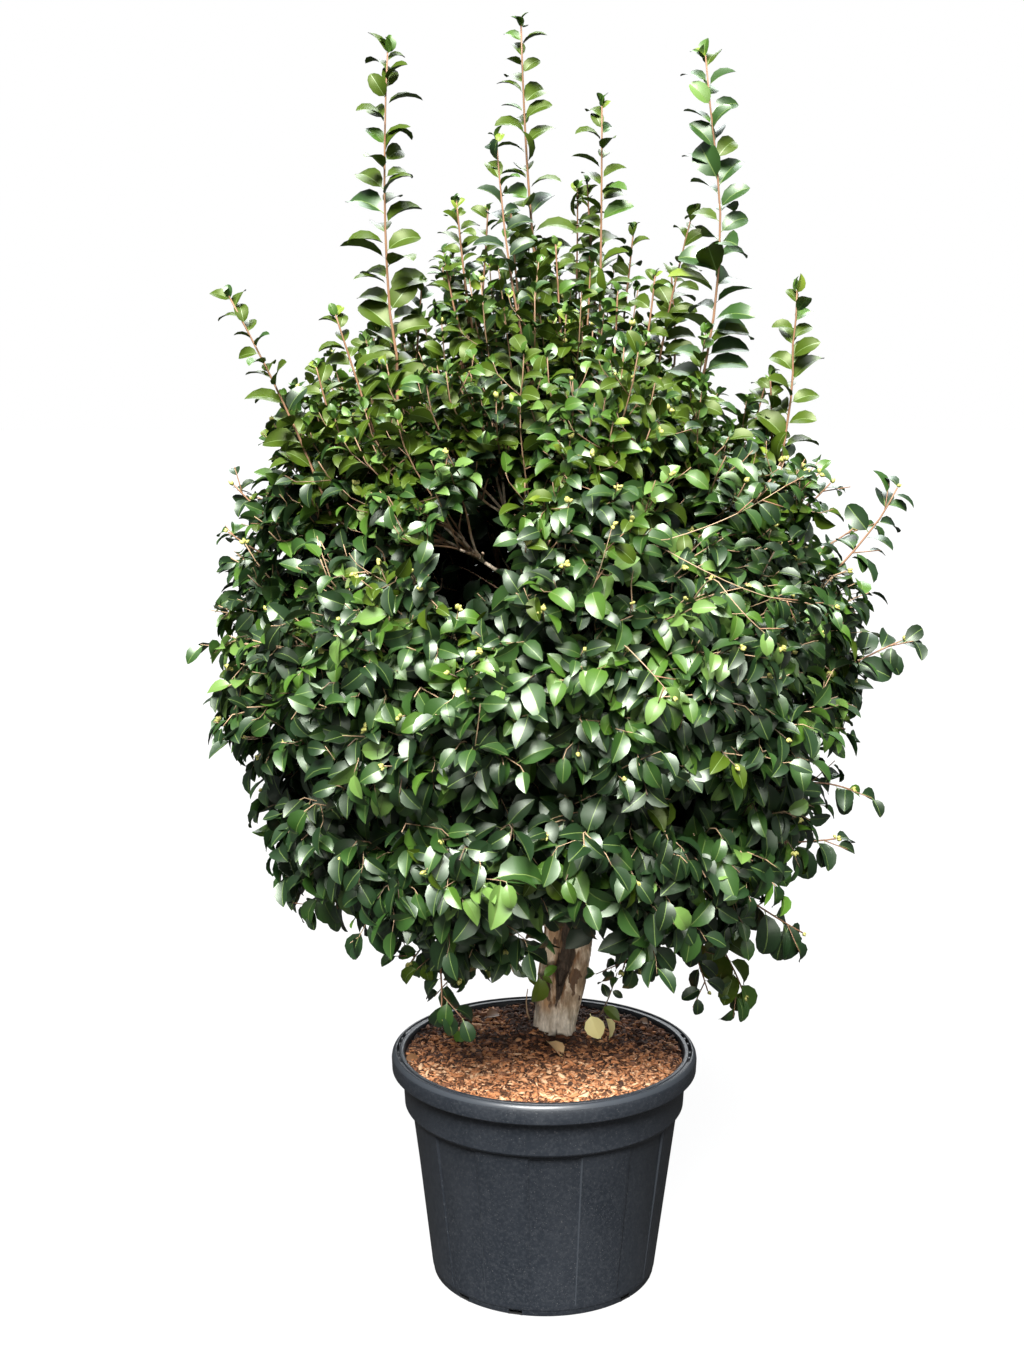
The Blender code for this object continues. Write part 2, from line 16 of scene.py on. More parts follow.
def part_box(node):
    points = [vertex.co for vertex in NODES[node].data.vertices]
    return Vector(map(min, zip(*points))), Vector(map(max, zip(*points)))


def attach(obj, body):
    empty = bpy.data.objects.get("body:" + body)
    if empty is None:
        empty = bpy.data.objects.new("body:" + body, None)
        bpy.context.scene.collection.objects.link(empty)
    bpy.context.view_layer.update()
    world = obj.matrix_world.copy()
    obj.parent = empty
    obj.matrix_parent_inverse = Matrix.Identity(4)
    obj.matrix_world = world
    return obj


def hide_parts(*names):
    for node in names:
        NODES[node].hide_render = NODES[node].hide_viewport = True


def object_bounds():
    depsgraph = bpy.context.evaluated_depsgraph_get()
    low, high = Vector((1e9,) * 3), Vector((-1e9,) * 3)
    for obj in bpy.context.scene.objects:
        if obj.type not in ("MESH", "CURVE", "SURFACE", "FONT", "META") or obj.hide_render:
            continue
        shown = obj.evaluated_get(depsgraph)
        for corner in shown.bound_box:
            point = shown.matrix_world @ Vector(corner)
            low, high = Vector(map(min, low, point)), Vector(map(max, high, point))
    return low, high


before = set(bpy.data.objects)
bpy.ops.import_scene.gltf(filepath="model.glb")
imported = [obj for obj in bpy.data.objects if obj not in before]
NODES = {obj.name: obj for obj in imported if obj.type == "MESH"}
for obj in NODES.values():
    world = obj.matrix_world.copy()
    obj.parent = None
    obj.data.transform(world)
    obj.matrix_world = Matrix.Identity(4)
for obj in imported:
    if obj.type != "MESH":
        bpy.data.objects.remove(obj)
SIZE_AT_LOAD = [list(corner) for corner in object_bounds()]
RNG = np.random.default_rng(1734)
UP = np.array((0.0, 0.0, 1.0))

# Camera and light
CAMERA_PLACE = (-0.0737, -4.0, 2.069)
CAMERA_PITCH = math.radians(9.77)
CAMERA_LENS = 48.11
# Lamps: name, degrees above the floor, azimuth (-90 is the front), angular size, strength and colour
LAMPS = (
    ("key", 51, -99, 30, 12.2, (1.0, 0.99, 0.96)),
    ("front", 14, -72, 24, 0.55, (1.0, 0.97, 0.92)),
    ("back", 40, 82, 34, 2.6, (0.93, 0.97, 1.0)),
)
# A small lamp before the pot that lights the trunk under the crown
TRUNK_LAMP_PLACE = (-0.25, -1.60, 0.78)
TRUNK_LAMP_AIM = (0.045, 0.10, 0.68)
TRUNK_LAMP = {
    "energy": 44.0, "spot_size": math.radians(17), "spot_blend": 0.6, "shadow_soft_size": 0.12,
    "color": (1.0, 0.96, 0.90),
}
WHITE = (1.0, 1.0, 1.0, 1.0)
SKY_COLOUR = (0.90, 0.95, 1.0, 1.0)
SKY_OVERHEAD = 0.38
SKY_AT_HORIZON = 0.09
BACKDROP_STRENGTH = 1.0
FLOOR_RADIUS = 60.0
FLOOR_GLOW = 0.93  # share of plain white in what the camera sees of the floor
FLOOR_BOUNCE = (0.03, 0.03, 0.03, 1.0)  # what the plant gets back from the floor

# Pot
POT_HEIGHT = 0.532
RIM_RADIUS = 0.350
RIM_DEPTH = 0.045
RIM_LIP = 0.030
RIM_GROOVE = (0.012, 0.018, 0.004)  # start and end across the rim's top, and depth
BAND_RADIUS = 0.3205
BAND_FOOT_Z = 0.405
BAND_STEP = 0.012
BAND_STEP_HEIGHT = 0.008
BASE_RADIUS = 0.2575
FOOT_LINE_Z = 0.016
POT_WALL = 0.006
POT_SIDES = 192
PANEL_COUNT = 16
PANEL_DEPTH = 0.0050
PANEL_SLOPE = 0.0030
PANEL_FADE = 0.012  # height above their feet over which the panels run out
PANEL_FIRST_EDGE = -97.5
PANEL_FOOT_Z = 0.024
PANEL_TOP_Z = BAND_FOOT_Z - 0.012
NOTCH_PLACES = 12
NOTCH_GROUP = 3  # of each three places the second has no notch
NOTCH_FIRST = -105.0
NOTCH_SIZE = (0.040, 0.030, 0.011)
NOTCH_MIDDLE_Z = 0.0075
POT_EDGE_ROUNDING = 0.0012
# Slots in the rim's groove: how far they reach from each side, pitch and length in degrees, and depth
RIM_SLOTS_REACH, RIM_SLOT_PITCH, RIM_SLOT_LENGTH = 16, 6, 3.6
RIM_SLOT_DEPTH = 0.010

# Potting mix
MIX_CROWN_Z = 0.5235
MIX_EDGE_Z = 0.518
MIX_RADIUS = 0.317
MIX_GRID = 150
MOUND = (-0.030, 0.085, 0.036, 0.019)  # place, reach and height of a heap against the trunk
MIX_SKIRT = 0.03
MIX_SKIRT_TAPER = 0.955
CHIP_COUNT = 9000
CHIP_SHAPES = 10
PALE_PATCH = (-0.130, 0.180, 0.055)  # place and reach of paler chips at the back
TRUNK_MIDDLE = np.array((0.035, 0.113))
TRUNK_SHADE_PATCH = (*TRUNK_MIDDLE, 0.085)  # and of darker ones round the trunk, painted shade at its foot
CHIP_COLOURS = (
    ("chip_dark", (0.050, 0.020, 0.010)),
    ("chip_brown", (0.185, 0.075, 0.035)),
    ("chip_copper", (0.460, 0.190, 0.077)),
    ("chip_peach", (0.560, 0.280, 0.138)),
    ("chip_straw", (0.700, 0.440, 0.260)),
)
FALLEN_COLOURS = (
    ("fallen_yellow", (1.0, 0.92, 0.44)),
    ("fallen_tan", (0.78, 0.52, 0.26)),
    ("fallen_green", (0.12, 0.26, 0.03)),
    ("fallen_brown", (0.20, 0.10, 0.045)),
    ("hanging_olive", (0.085, 0.135, 0.014)),
)
# Leaves one by one: stalk end, tip, the way the upper side faces, and colour
HANGING_LEAVES = (
    ((-0.012, 0.033, 0.694), (-0.004, 0.024, 0.606), (0.25, -0.95, 0.2), 4),
    ((-0.022, 0.038, 0.702), (-0.036, 0.040, 0.640), (-0.7, -0.7, 0.2), 4),
    ((-0.002, 0.036, 0.686), (0.030, 0.030, 0.718), (0.0, -0.8, 0.6), 2),
    ((-0.006, 0.036, 0.690), (0.020, 0.028, 0.672), (0.1, -0.7, 0.7), 4),
    ((0.136, 0.070, 0.602), (0.180, 0.046, 0.582), (0.0, -0.6, 0.8), 4),
)
FALLEN_LEAVES = (
    ((0.108, 0.062, 0.588), (0.131, 0.046, 0.527), (-0.3, -0.8, 0.5), 0),
    ((0.143, 0.058, 0.583), (0.170, 0.047, 0.526), (0.9, -0.35, 0.3), 0),
    ((0.006, 0.012, 0.541), (0.044, -0.046, 0.530), (0.5, -0.4, 0.8), 1),
    ((-0.200, 0.070, 0.545), (-0.196, 0.036, 0.524), (0.1, -0.5, 0.8), 2),
    ((-0.318, -0.066, 0.524), (-0.276, -0.056, 0.527), (0.1, -0.3, 0.9), 3),
    ((-0.140, 0.200, 0.528), (-0.094, 0.222, 0.528), (0.1, -0.3, 0.9), 3),
    ((0.255, 0.160, 0.526), (0.214, 0.184, 0.530), (0.1, -0.3, 0.9), 3),
)

# Limbs
BARK_VOXEL = 0.0022
BARK_TOP_Z = 0.97
BARK_OVERLAP = 0.08
BARK_SOFTENING = 4
# Each stem inside the joined trunk: place and radius of its foot, then heights and factors of its swelling
STEMS = {
    "stem_left": (0.010, 0.112, 0.0335, (0.60, 0.70), (1.0, 1.10)),
    "stem_right": (0.042, 0.112, 0.0345, (0.62, 0.72), (1.0, 1.14)),
    "stem_back": (0.030, 0.132, 0.0280, (0.80, 0.93), (1.35, 1.0)),
}
FOOT_FLARE = 1.04
HEART_WOOD = ((0.60, 0.024), (0.75, 0.023), (0.88, 0.020), (0.95, 0.010))  # height and radius, in the fork
HEART_SET_BACK = 0.019
# The furrow between the front stems, painted dark as shade in the crease: heights and x of its middle at the
# ends of its slope, and half width
FURROW_LINE = (0.600, 0.755, 0.0305, 0.0605)
FURROW_HALF_WIDTH = 0.0185
LIMB_SIDES = 10
STEM_MASSES = {
    "stem_left": "foliage_upper_4",
    "stem_right": "foliage_upper_2",
    "stem_back": "foliage_upper_3",
}

# Crown
OUTER_TWIGS = 1330
INNER_TWIGS = 880
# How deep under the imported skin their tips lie
OUTER_DEPTHS = (0.014, 0.078)
INNER_DEPTHS = (0.11, 0.28)
LEAST_REACH = 0.40  # nearer hits lie in the bare hollow under the crown
CLUMP_FREQUENCY = 5.5
CLUMP_DEPTH = 0.095
# The foliage is open in front of the trunk, up to a slope that falls towards the trunk
ARCH_SIDES = (-0.070, 0.150)
ARCH_TOP_Z = 1.045
ARCH_FRONT_Y = -0.60
ARCH_SLOPE = -0.31
# Ovals seen from the front: middle in x and z, half width and half height
HOLLOWS = ((-0.158, 1.710, 0.078, 0.086), (-0.118, 1.815, 0.040, 0.050))
HOLLOW_BACK_Y = -0.28
HOLLOW_DEPTH = 0.12
# The same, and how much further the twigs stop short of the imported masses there
OUTLINE_TRIMS = (
    (-0.422, 2.151, 0.090, 0.140, 0.05),
    (0.415, 2.034, 0.060, 0.110, 0.05),
    (0.633, 1.775, 0.075, 0.105, 0.060),
    (0.650, 1.230, 0.095, 0.130, 0.060),
    (0.600, 0.950, 0.090, 0.120, 0.050),
    (-0.380, 0.810, 0.130, 0.085, 0.110),
    (-0.523, 2.045, 0.095, 0.090, 0.055),
    (-0.672, 1.740, 0.060, 0.070, -0.030),
    (-0.746, 1.330, 0.060, 0.120, -0.015),
    (0.415, 2.010, 0.090, 0.080, 0.04),
    (0.655, 1.610, 0.060, 0.110, 0.030),
    (0.500, 0.960, 0.060, 0.070, 0.040),
    (-0.495, 2.008, 0.075, 0.065, 0.050),
    (-0.640, 1.060, 0.080, 0.150, 0.000),
)
CURTAIN_TWIGS = 90
CURTAIN_HEIGHTS = (0.93, 1.10)
CURTAIN_REACH = (0.06, 0.34)
LIGHT_CLUSTER = ((-0.165, -0.61, 1.05), 0.090)  # middle and reach of a cluster of large pale leaves
BOX_ROOM = 0.012
TWIGS_ON_A_BRANCH = 13
TWIGS_ON_A_FORK = 4
# Radii of wood at its foot and tip
BRANCH_RADII, FORK_RADII = (0.0055, 0.0036), (0.0036, 0.0024)
TWIG_RADII, BRANCHLET_RADII = (0.0021, 0.0012), (0.0015, 0.0009)
SPRAY_TWIG_RADII, SPRIG_RADII = (0.0015, 0.0010), (0.0022, 0.0011)
LEAF_LENGTHS = ((0.7, 1.3, 1.9, 2.3), (0.092, 0.084, 0.067, 0.055))  # heights, and leaf lengths there
LEAFY_LENGTH = 0.17
LEAF_SPACING = 0.0225
RISER_SPACING = 0.0180
# How leaves sit on upright shoots and on side sprays
UPRIGHT_SHOOT = {
    "zone": "shoot", "spacing": 0.0178, "droop": 0.04, "spiral": math.radians(137.5), "spread": 52,
    "shrink": 0.42, "depth": 0.55, "tuft": True,
}
UPRIGHT_LIGHT = (-0.10, -0.62, 0.78)
SIDE_SPRAY = {"spacing": 0.0260, "droop": 0.20, "spiral": math.pi, "spread": 62, "shrink": 0.25, "depth": 1.0}
TRUNK_SPRIG = {
    "region": "shoots", "form": "crown", "zone": "middle", "spacing": 0.026, "first": 0.05, "droop": 0.5,
    "spiral": math.pi, "spread": 40, "scatter": 0.3, "shrink": 0.2, "depth": 0.6,
}

# Leaf length on a spray against that of the crown beside it, where it isn't the usual one
SPRAY_SHARES = {
    "spray_hanging_left": 0.80,
    "spray_hanging_right": 1.00,
    "spray_right_lower": 1.15,
    "spray_foot_right": 1.15,
}
SHOOT_LEAF_SHARE = 1.52  # leaf length on a packed shoot, against its sleeve's radius
SIDE_TWIG_SPACING = 0.100
TWIG_COLOURS = {
    "old_twig": ((0.17, 0.120, 0.078), 0.75),
    "tan_twig": ((0.40, 0.27, 0.16), 0.65),
    "brown_twig": ((0.28, 0.170, 0.098), 0.6),
    "red_twig": ((0.27, 0.145, 0.080), 0.5),
    "pale_twig": ((0.42, 0.30, 0.185), 0.55),
}
BARE_TWIG_RISE = np.array((0.0, -0.8, 0.0))
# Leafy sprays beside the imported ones: leaf size factor and y, then x and z of points from root to tip
LEAFY_SPRAYS = (
    (1.0, -0.10, (-0.165, 2.180), (-0.178, 2.300), (-0.189, 2.412)),
    (1.0, -0.06, (-0.140, 2.180), (-0.130, 2.290), (-0.124, 2.399)),
    (1.0, -0.12, (-0.180, 2.140), (-0.200, 2.210), (-0.211, 2.285)),
    (1.0, -0.08, (-0.275, 2.100), (-0.268, 2.180), (-0.263, 2.250)),
    (1.0, -0.10, (0.028, 2.150), (0.022, 2.240), (0.017, 2.325)),
    (1.0, -0.04, (0.085, 2.130), (0.090, 2.205), (0.092, 2.280)),
    (1.0, -0.10, (0.205, 2.100), (0.218, 2.180), (0.225, 2.262)),
    (1.0, -0.12, (0.140, 2.080), (0.144, 2.155), (0.146, 2.228)),
    (1.0, -0.06, (-0.056, 2.180), (-0.068, 2.285), (-0.076, 2.390)),
    (1.0, -0.10, (-0.450, 1.930), (-0.468, 2.000), (-0.486, 2.072)),
    (1.0, -0.08, (0.480, 1.900), (0.478, 1.980), (0.473, 2.056)),
    (0.9, -0.10, (-0.560, 1.730), (-0.620, 1.775), (-0.665, 1.825)),
    (0.9, -0.10, (-0.582, 1.665), (-0.640, 1.695), (-0.680, 1.725)),
    (0.8, -0.25, (-0.449, 1.021), (-0.480, 0.975), (-0.500, 0.925)),
    (0.8, -0.34, (-0.224, 0.930), (-0.262, 0.880), (-0.286, 0.845)),
    (0.8, -0.34, (-0.192, 0.930), (-0.188, 0.870), (-0.184, 0.810)),
    (0.8, -0.34, (-0.099, 0.950), (-0.120, 0.890), (-0.128, 0.840)),
    (0.8, -0.34, (0.193, 0.930), (0.168, 0.870), (0.158, 0.830)),
    (0.8, -0.34, (0.214, 0.930), (0.208, 0.880), (0.198, 0.835)),
    (0.8, -0.20, (0.312, 0.850), (0.335, 0.790), (0.352, 0.735)),
)
# Others that are bare at the root: bare length, leaf size factor and points
BARE_SPRAYS = (
    (0.04, 1.05, ((0.540, -0.10, 1.171), (0.605, -0.10, 1.182), (0.670, -0.10, 1.160))),
    (0.20, 1.0, ((0.240, -0.590, 1.720), (0.400, -0.612, 1.635), (0.553, -0.475, 1.615))),
    (0.12, 1.0, ((0.312, -0.610, 1.676), (0.359, -0.655, 1.612), (0.432, -0.602, 1.555))),
    (0.15, 1.0, ((0.220, -0.565, 1.752), (0.351, -0.540, 1.788), (0.497, -0.425, 1.868))),
    (0.08, 1.0, ((0.140, -0.660, 1.560), (0.178, -0.712, 1.527), (0.220, -0.705, 1.476))),
    (0.10, 0.9, ((0.020, -0.540, 1.570), (0.075, -0.645, 1.640), (0.108, -0.700, 1.790))),
)

# Sprigs beside the trunk: twig colour, leaf size (0 where bare), and the first two and last two points
TRUNK_SPRIGS = (
    (1, 0, (-0.032, 0.100, 0.560), (-0.042, 0.075, 0.590), (-0.042, 0.070, 0.618), (-0.037, 0.070, 0.645)),
    (2, 0, (0.004, 0.085, 0.790), (-0.001, 0.060, 0.752), (-0.007, 0.045, 0.717), (-0.014, 0.036, 0.691)),
    (0, 0.044, (0.120, 0.105, 0.545), (0.140, 0.085, 0.582), (0.157, 0.085, 0.623), (0.172, 0.085, 0.680)),
)

# Stalk and widths as shares of a leaf's length
PETIOLE = 0.10
RIB_WIDTH = LEAST_HALF_WIDTH = 0.010
STALK_WIDTH = 0.014
FOOT_POWER = 0.72  # how blunt the foot of a blade is
LEAF_SHAPES = 12
BUD_SIDES = 5
BUD_LENGTHS = (0.008, 0.014)
TIP_SPREAD = 34  # degrees between a spray and its last leaf
STRAY_TINTS = 0.22  # share of leaves with a tint of their own

COOL_SHEEN, WARM_SHEEN = (0.90, 1.0, 0.86), (0.93, 1.0, 0.66)
# Colour, roughness, and how strong and of what tint the sheen is
LEAF_TINTS = {
    # The inner tint is darker than the others as painted shade deep inside the crown
    "leaf_inner": ((0.006, 0.018, 0.004), 0.45, 0.80, COOL_SHEEN),
    "leaf_deep": ((0.008, 0.028, 0.006), 0.41, 1.00, COOL_SHEEN),
    "leaf_mid": ((0.021, 0.063, 0.008), 0.41, 1.00, COOL_SHEEN),
    "leaf_fresh": ((0.051, 0.122, 0.010), 0.42, 0.90, COOL_SHEEN),
    "leaf_light": ((0.120, 0.222, 0.045), 0.42, 0.90, COOL_SHEEN),
    "leaf_olive": ((0.045, 0.079, 0.005), 0.44, 0.42, WARM_SHEEN),
    "leaf_young": ((0.150, 0.215, 0.022), 0.44, 0.50, WARM_SHEEN),
    "leaf_rib": ((0.120, 0.185, 0.045), 0.45, 0.80, COOL_SHEEN),
}
LIGHTER_TINTS = (2, 3, 3, 4)  # of the tuft at a spray's tip
YOUNG_SLOT, RIB_SLOT = 6, 7
# Shares of the tints from inner to young, by where a spray grows; the inner row is mostly painted shade, and
# the low row leans to darker tints, in part painted shade under the crown
TINT_SHARES = {
    "inner": (0.66, 0.28, 0.06, 0.00, 0.00, 0.00, 0.00),
    "low": (0.15, 0.47, 0.26, 0.07, 0.03, 0.02, 0.00),
    "middle": (0.09, 0.37, 0.30, 0.14, 0.06, 0.04, 0.00),
    "upper": (0.02, 0.18, 0.34, 0.255, 0.05, 0.15, 0.005),
    "shoot": (0.0, 0.06, 0.17, 0.15, 0.02, 0.59, 0.01),
    "light": (0.00, 0.04, 0.20, 0.40, 0.36, 0.00, 0.00),
}
YOUNG_TIPS = {"shoot": 0.35, "upper": 0.08}  # share of sprays that end in young leaves

# Width, fold and arch of a blade, from least to most, how drawn out its tip is, and whether it has its rib
LEAF_FORMS = {
    "crown": ((0.240, 0.295), (0.18, 0.58), (0.35, 1.45), 1.02, True),
    "shoot": ((0.260, 0.310), (0.16, 0.50), (0.60, 1.50), 0.80, True),
    "inner": ((0.240, 0.290), (0.20, 0.60), (0.35, 1.45), 1.02, False),
    "fallen": ((0.320, 0.370), (0.30, 0.60), (0.30, 1.00), 1.15, True),
}


# Small shapes gathered into one mesh

class Gathering:
    """Points and faces of many small shapes, which become one object."""

    def __init__(self):
        self.points, self.corners, self.sizes, self.slots = [], [], [], []
        self.count = 0

    def add(self, points, corners, sizes, slots):
        self.points.append(np.asarray(points, np.float32).reshape(-1, 3))
        self.corners.append(np.asarray(corners, np.int32).ravel() + self.count)
        self.sizes.append(np.asarray(sizes, np.int32).ravel())
        self.slots.append(np.asarray(slots, np.int32).ravel())
        self.count += len(self.points[-1])

    def build(self, name, materials):
        corners, sizes = np.concatenate(self.corners), np.concatenate(self.sizes)
        mesh = bpy.data.meshes.new(name)
        mesh.vertices.add(self.count)
        mesh.vertices.foreach_set("co", np.concatenate(self.points).ravel())
        mesh.loops.add(len(corners))
        mesh.loops.foreach_set("vertex_index", corners)
        mesh.polygons.add(len(sizes))
        mesh.polygons.foreach_set("loop_start", np.cumsum(sizes) - sizes)
        mesh.polygons.foreach_set("material_index", np.concatenate(self.slots))
        mesh.polygons.foreach_set("use_smooth", np.ones(len(sizes), bool))
        for made in materials:
            mesh.materials.append(made)
        mesh.update(calc_edges=True)
        obj = bpy.data.objects.new(name, mesh)
        bpy.context.scene.collection.objects.link(obj)
        return obj


def unit(vectors):
    vectors = np.asarray(vectors, float)
    return vectors / np.maximum(np.linalg.norm(vectors, axis=-1, keepdims=True), 1e-9)


def blend(first, second, share):
    return first + (second - first) * share


def scatter(gathering, shape, places, axes, slots):
    """Copies a template to each place. axes holds one 3 by 3 matrix a copy, its columns scaled."""
    points, corners, sizes, ribs = shape
    count = len(places)
    if not count:
        return
    moved = np.einsum("nij,pj->npi", axes, points) + places[:, None, :]
    offsets = np.arange(count)[:, None] * len(points)
    worn = np.where(ribs[None, :], RIB_SLOT, np.asarray(slots)[:, None])
    gathering.add(moved, corners[None, :] + offsets, np.tile(sizes, count), worn)


def scatter_kinds(gathering, shapes, places, axes, slots):
    """Copies one of several templates, by chance, to each place."""
    kind = RNG.integers(0, len(shapes), len(places))
    for index, shape in enumerate(shapes):
        own = kind == index
        scatter(gathering, shape, places[own], axes[own], slots[own])


def template(points, faces, ribs=None):
    """Points, corners, face sizes and which faces are a rib, as scatter takes them."""
    sizes = np.array([len(face) for face in faces])
    return np.array(points), np.concatenate(faces), sizes, np.array(ribs or [False] * len(faces))


def faces_to_tip(levels, columns, closed):
    """Faces between rows of points, and from the last row to a single point."""
    tip = levels * columns
    faces = []
    for row in range(0, tip, columns):
        for column in range(columns if closed else columns - 1):
            near, beside = row + column, row + (column + 1) % columns
            last = row == tip - columns
            faces.append([near, beside, tip] if last else [near, beside, beside + columns, near + columns])
    return faces


def frames(along, normals, lengths):
    """Axes for scatter: Y along each shape and Z as near its normal as can be, as long as the shape."""
    normals = unit(normals - along * (normals * along).sum(-1, keepdims=True))
    return np.stack([np.cross(along, normals), along, normals], -1) * lengths[:, None, None]


def add_tube(gathering, points, radii, sides, slot=0):
    """A limb with closed ends along the points. radii holds one for each, or that of both ends."""
    points = np.asarray(points, float)
    radii = np.linspace(*radii, len(points)) if len(radii) == 2 else np.asarray(radii, float)
    along = unit(np.gradient(points, axis=0))
    reference = np.eye(3)[np.argmin(np.abs(unit(along.mean(axis=0))))]
    side = unit(np.cross(along, reference))
    other = np.cross(along, side)
    turn = (np.arange(sides) * math.tau / sides)[None, :, None]
    ring = np.cos(turn) * side[:, None, :] + np.sin(turn) * other[:, None, :]
    rings = points[:, None, :] + radii[:, None, None] * ring
    first = np.arange(sides)
    second = (first + 1) % sides
    levels = np.arange(len(points) - 1)[:, None] * sides
    quads = np.stack([levels + first, levels + second, levels + sides + second, levels + sides + first], -1)
    top = (len(points) - 1) * sides
    corners = np.concatenate([quads.ravel(), first[::-1], top + first])
    sizes = np.concatenate([np.full(quads.size // 4, 4), [sides, sides]])
    gathering.add(rings, corners, sizes, np.full(len(sizes), slot))


def curve_between(start, leave, end, arrive, count):
    """Points on a smooth arc that leaves start along one vector and arrives at end along another."""
    t = np.linspace(0, 1, count)[:, None]
    second, third = start + leave, end - arrive
    return (
        start * (1 - t) ** 3 + 3 * second * t * (1 - t) ** 2
        + 3 * third * t ** 2 * (1 - t) + end * t ** 3
    )


def reach_along(line):
    """How far along a line each of its points lies."""
    return np.append(0, np.cumsum(np.linalg.norm(np.diff(line, axis=0), axis=1)))


def points_at(spots, reach, rows):
    """Rows of three, given at each reach, read off at the spots between."""
    return np.stack([np.interp(spots, reach, rows[:, axis]) for axis in range(3)], -1)


def nearest(points, place):
    return points[np.argmin(np.linalg.norm(points - place, axis=1))]


def ripple(*place):
    return noise.noise(Vector(place))


# Materials

def add_node(tree, kind, inputs=(), **settings):
    made = tree.nodes.new(kind)
    for key, value in settings.items():
        setattr(made, key, value)
    for key, value in dict(inputs).items():
        if isinstance(value, bpy.types.NodeSocket):
            tree.links.new(value, made.inputs[key])
        else:
            made.inputs[key].default_value = value
    return made


def mottle_group():
    """A soft, uneven mask, from object coordinates stretched upright by a factor."""
    group = bpy.data.node_groups.new("mottle", "ShaderNodeTree")
    for name, value in (("Scale", 20.0), ("Upright", 1.0), ("Low", 0.4), ("High", 0.6), ("Detail", 5.0)):
        socket = group.interface.new_socket(name=name, in_out="INPUT", socket_type="NodeSocketFloat")
        socket.default_value = value
    group.interface.new_socket(name="Mask", in_out="OUTPUT", socket_type="NodeSocketFloat")
    given = group.nodes.new("NodeGroupInput").outputs
    place = add_node(group, "ShaderNodeTexCoord").outputs["Object"]
    stretch = add_node(group, "ShaderNodeCombineXYZ", {"X": 1.0, "Y": 1.0, "Z": given["Upright"]})
    scaled = add_node(group, "ShaderNodeVectorMath", {0: place, 1: stretch.outputs[0]}, operation="MULTIPLY")
    values = {"Vector": scaled.outputs[0], "Scale": given["Scale"], "Detail": given["Detail"]}
    pattern = add_node(group, "ShaderNodeTexNoise", values).outputs[0]
    values = {0: pattern, 1: given["Low"], 2: given["High"]}
    cut = add_node(group, "ShaderNodeMapRange", values, interpolation_type="SMOOTHSTEP")
    add_node(group, "NodeGroupOutput", {"Mask": cut.outputs[0]})


def mottle(tree, scale, low, high, upright=1.0, detail=5.0):
    values = {"Scale": scale, "Upright": upright, "Low": low, "High": high, "Detail": detail}
    group = bpy.data.node_groups["mottle"]
    return add_node(tree, "ShaderNodeGroup", values, node_tree=group).outputs["Mask"]


def mix_colour(tree, first, second, share):
    values = {0: share}
    for index, colour in ((6, first), (7, second)):
        values[index] = colour if isinstance(colour, bpy.types.NodeSocket) else (*colour, 1.0)
    return add_node(tree, "ShaderNodeMix", values, data_type="RGBA").outputs[2]


def layered(tree, colour, *layers):
    """A colour under others, each of them a colour and its mask."""
    for over, mask in layers:
        colour = mix_colour(tree, colour, over, mask)
    return colour


def ramp(tree, value, start, end, low=0.0, high=1.0):
    return add_node(tree, "ShaderNodeMapRange", {0: value, 1: start, 2: end, 3: low, 4: high}).outputs[0]


def axes_of(tree, output="Object"):
    place = add_node(tree, "ShaderNodeTexCoord").outputs[output]
    return add_node(tree, "ShaderNodeSeparateXYZ", {0: place}).outputs


def new_material(name, colour, roughness, **values):
    """A material whose Principled shader has these values. It returns the material, tree and shader."""
    made = bpy.data.materials.new(name)
    made.use_nodes = True
    shader = made.node_tree.nodes["Principled BSDF"]
    for key, value in {"Base Color": (*colour, 1.0), "Roughness": roughness, **values}.items():
        shader.inputs[key].default_value = value
    return made, made.node_tree, shader


def plain(name, colour, roughness, **values):
    return new_material(name, colour, roughness, **values)[0]


def join_up(tree, shader, colour, height, strength, distance):
    """Joins a colour and a bump to a shader."""
    tree.links.new(colour, shader.inputs["Base Color"])
    made = add_node(tree, "ShaderNodeBump", {"Height": height, "Strength": strength, "Distance": distance})
    tree.links.new(made.outputs[0], shader.inputs["Normal"])


def pot_plastic():
    """Dark slate plastic with a fine grain, dust in patches and chalky specks."""
    shine = {"Specular IOR Level": 0.46}
    made, tree, shader = new_material("slate_plastic", (0.03, 0.034, 0.041), 0.5, **shine)
    dusty = mottle(tree, 9.0, 0.34, 0.80, upright=0.5)
    colour = layered(
        tree, (0.0125, 0.0158, 0.0215),
        ((0.0190, 0.0228, 0.0298), dusty),
        ((0.027, 0.031, 0.038), mottle(tree, 130.0, 0.40, 0.75, detail=4.0)),
        ((0.110, 0.112, 0.115), mottle(tree, 420.0, 0.66, 0.74, detail=2.0)),
    )
    tree.links.new(ramp(tree, dusty, 0, 1, 0.40, 0.50), shader.inputs["Roughness"])
    join_up(tree, shader, colour, mottle(tree, 900.0, 0.3, 0.7), 0.25, 0.0006)
    return made


def mix_surface():
    """Bark mix between the chips: dark at the back as painted shade under the crown, brown and lighter at the
    front as painted light.
    """
    made, tree, shader = new_material("mix_painted_light_and_shade", (0.05, 0.018, 0.008), 0.9)
    patches = mottle(tree, 14.0, 0.40, 0.62)
    # The back colours are painted shade and the front ones painted light, blended along y
    back = mix_colour(tree, (0.034, 0.013, 0.008), (0.110, 0.038, 0.016), patches)
    front = mix_colour(tree, (0.170, 0.072, 0.034), (0.300, 0.135, 0.065), patches)
    colour = mix_colour(tree, back, front, ramp(tree, axes_of(tree)["Y"], 0.06, -0.16))
    shaded = mix_colour(tree, colour, (0.020, 0.009, 0.005), 0.72)
    colour = mix_colour(tree, colour, shaded, mottle(tree, 160.0, 0.35, 0.65))
    join_up(tree, shader, colour, mottle(tree, 320.0, 0.2, 0.8), 0.8, 0.003)
    return made


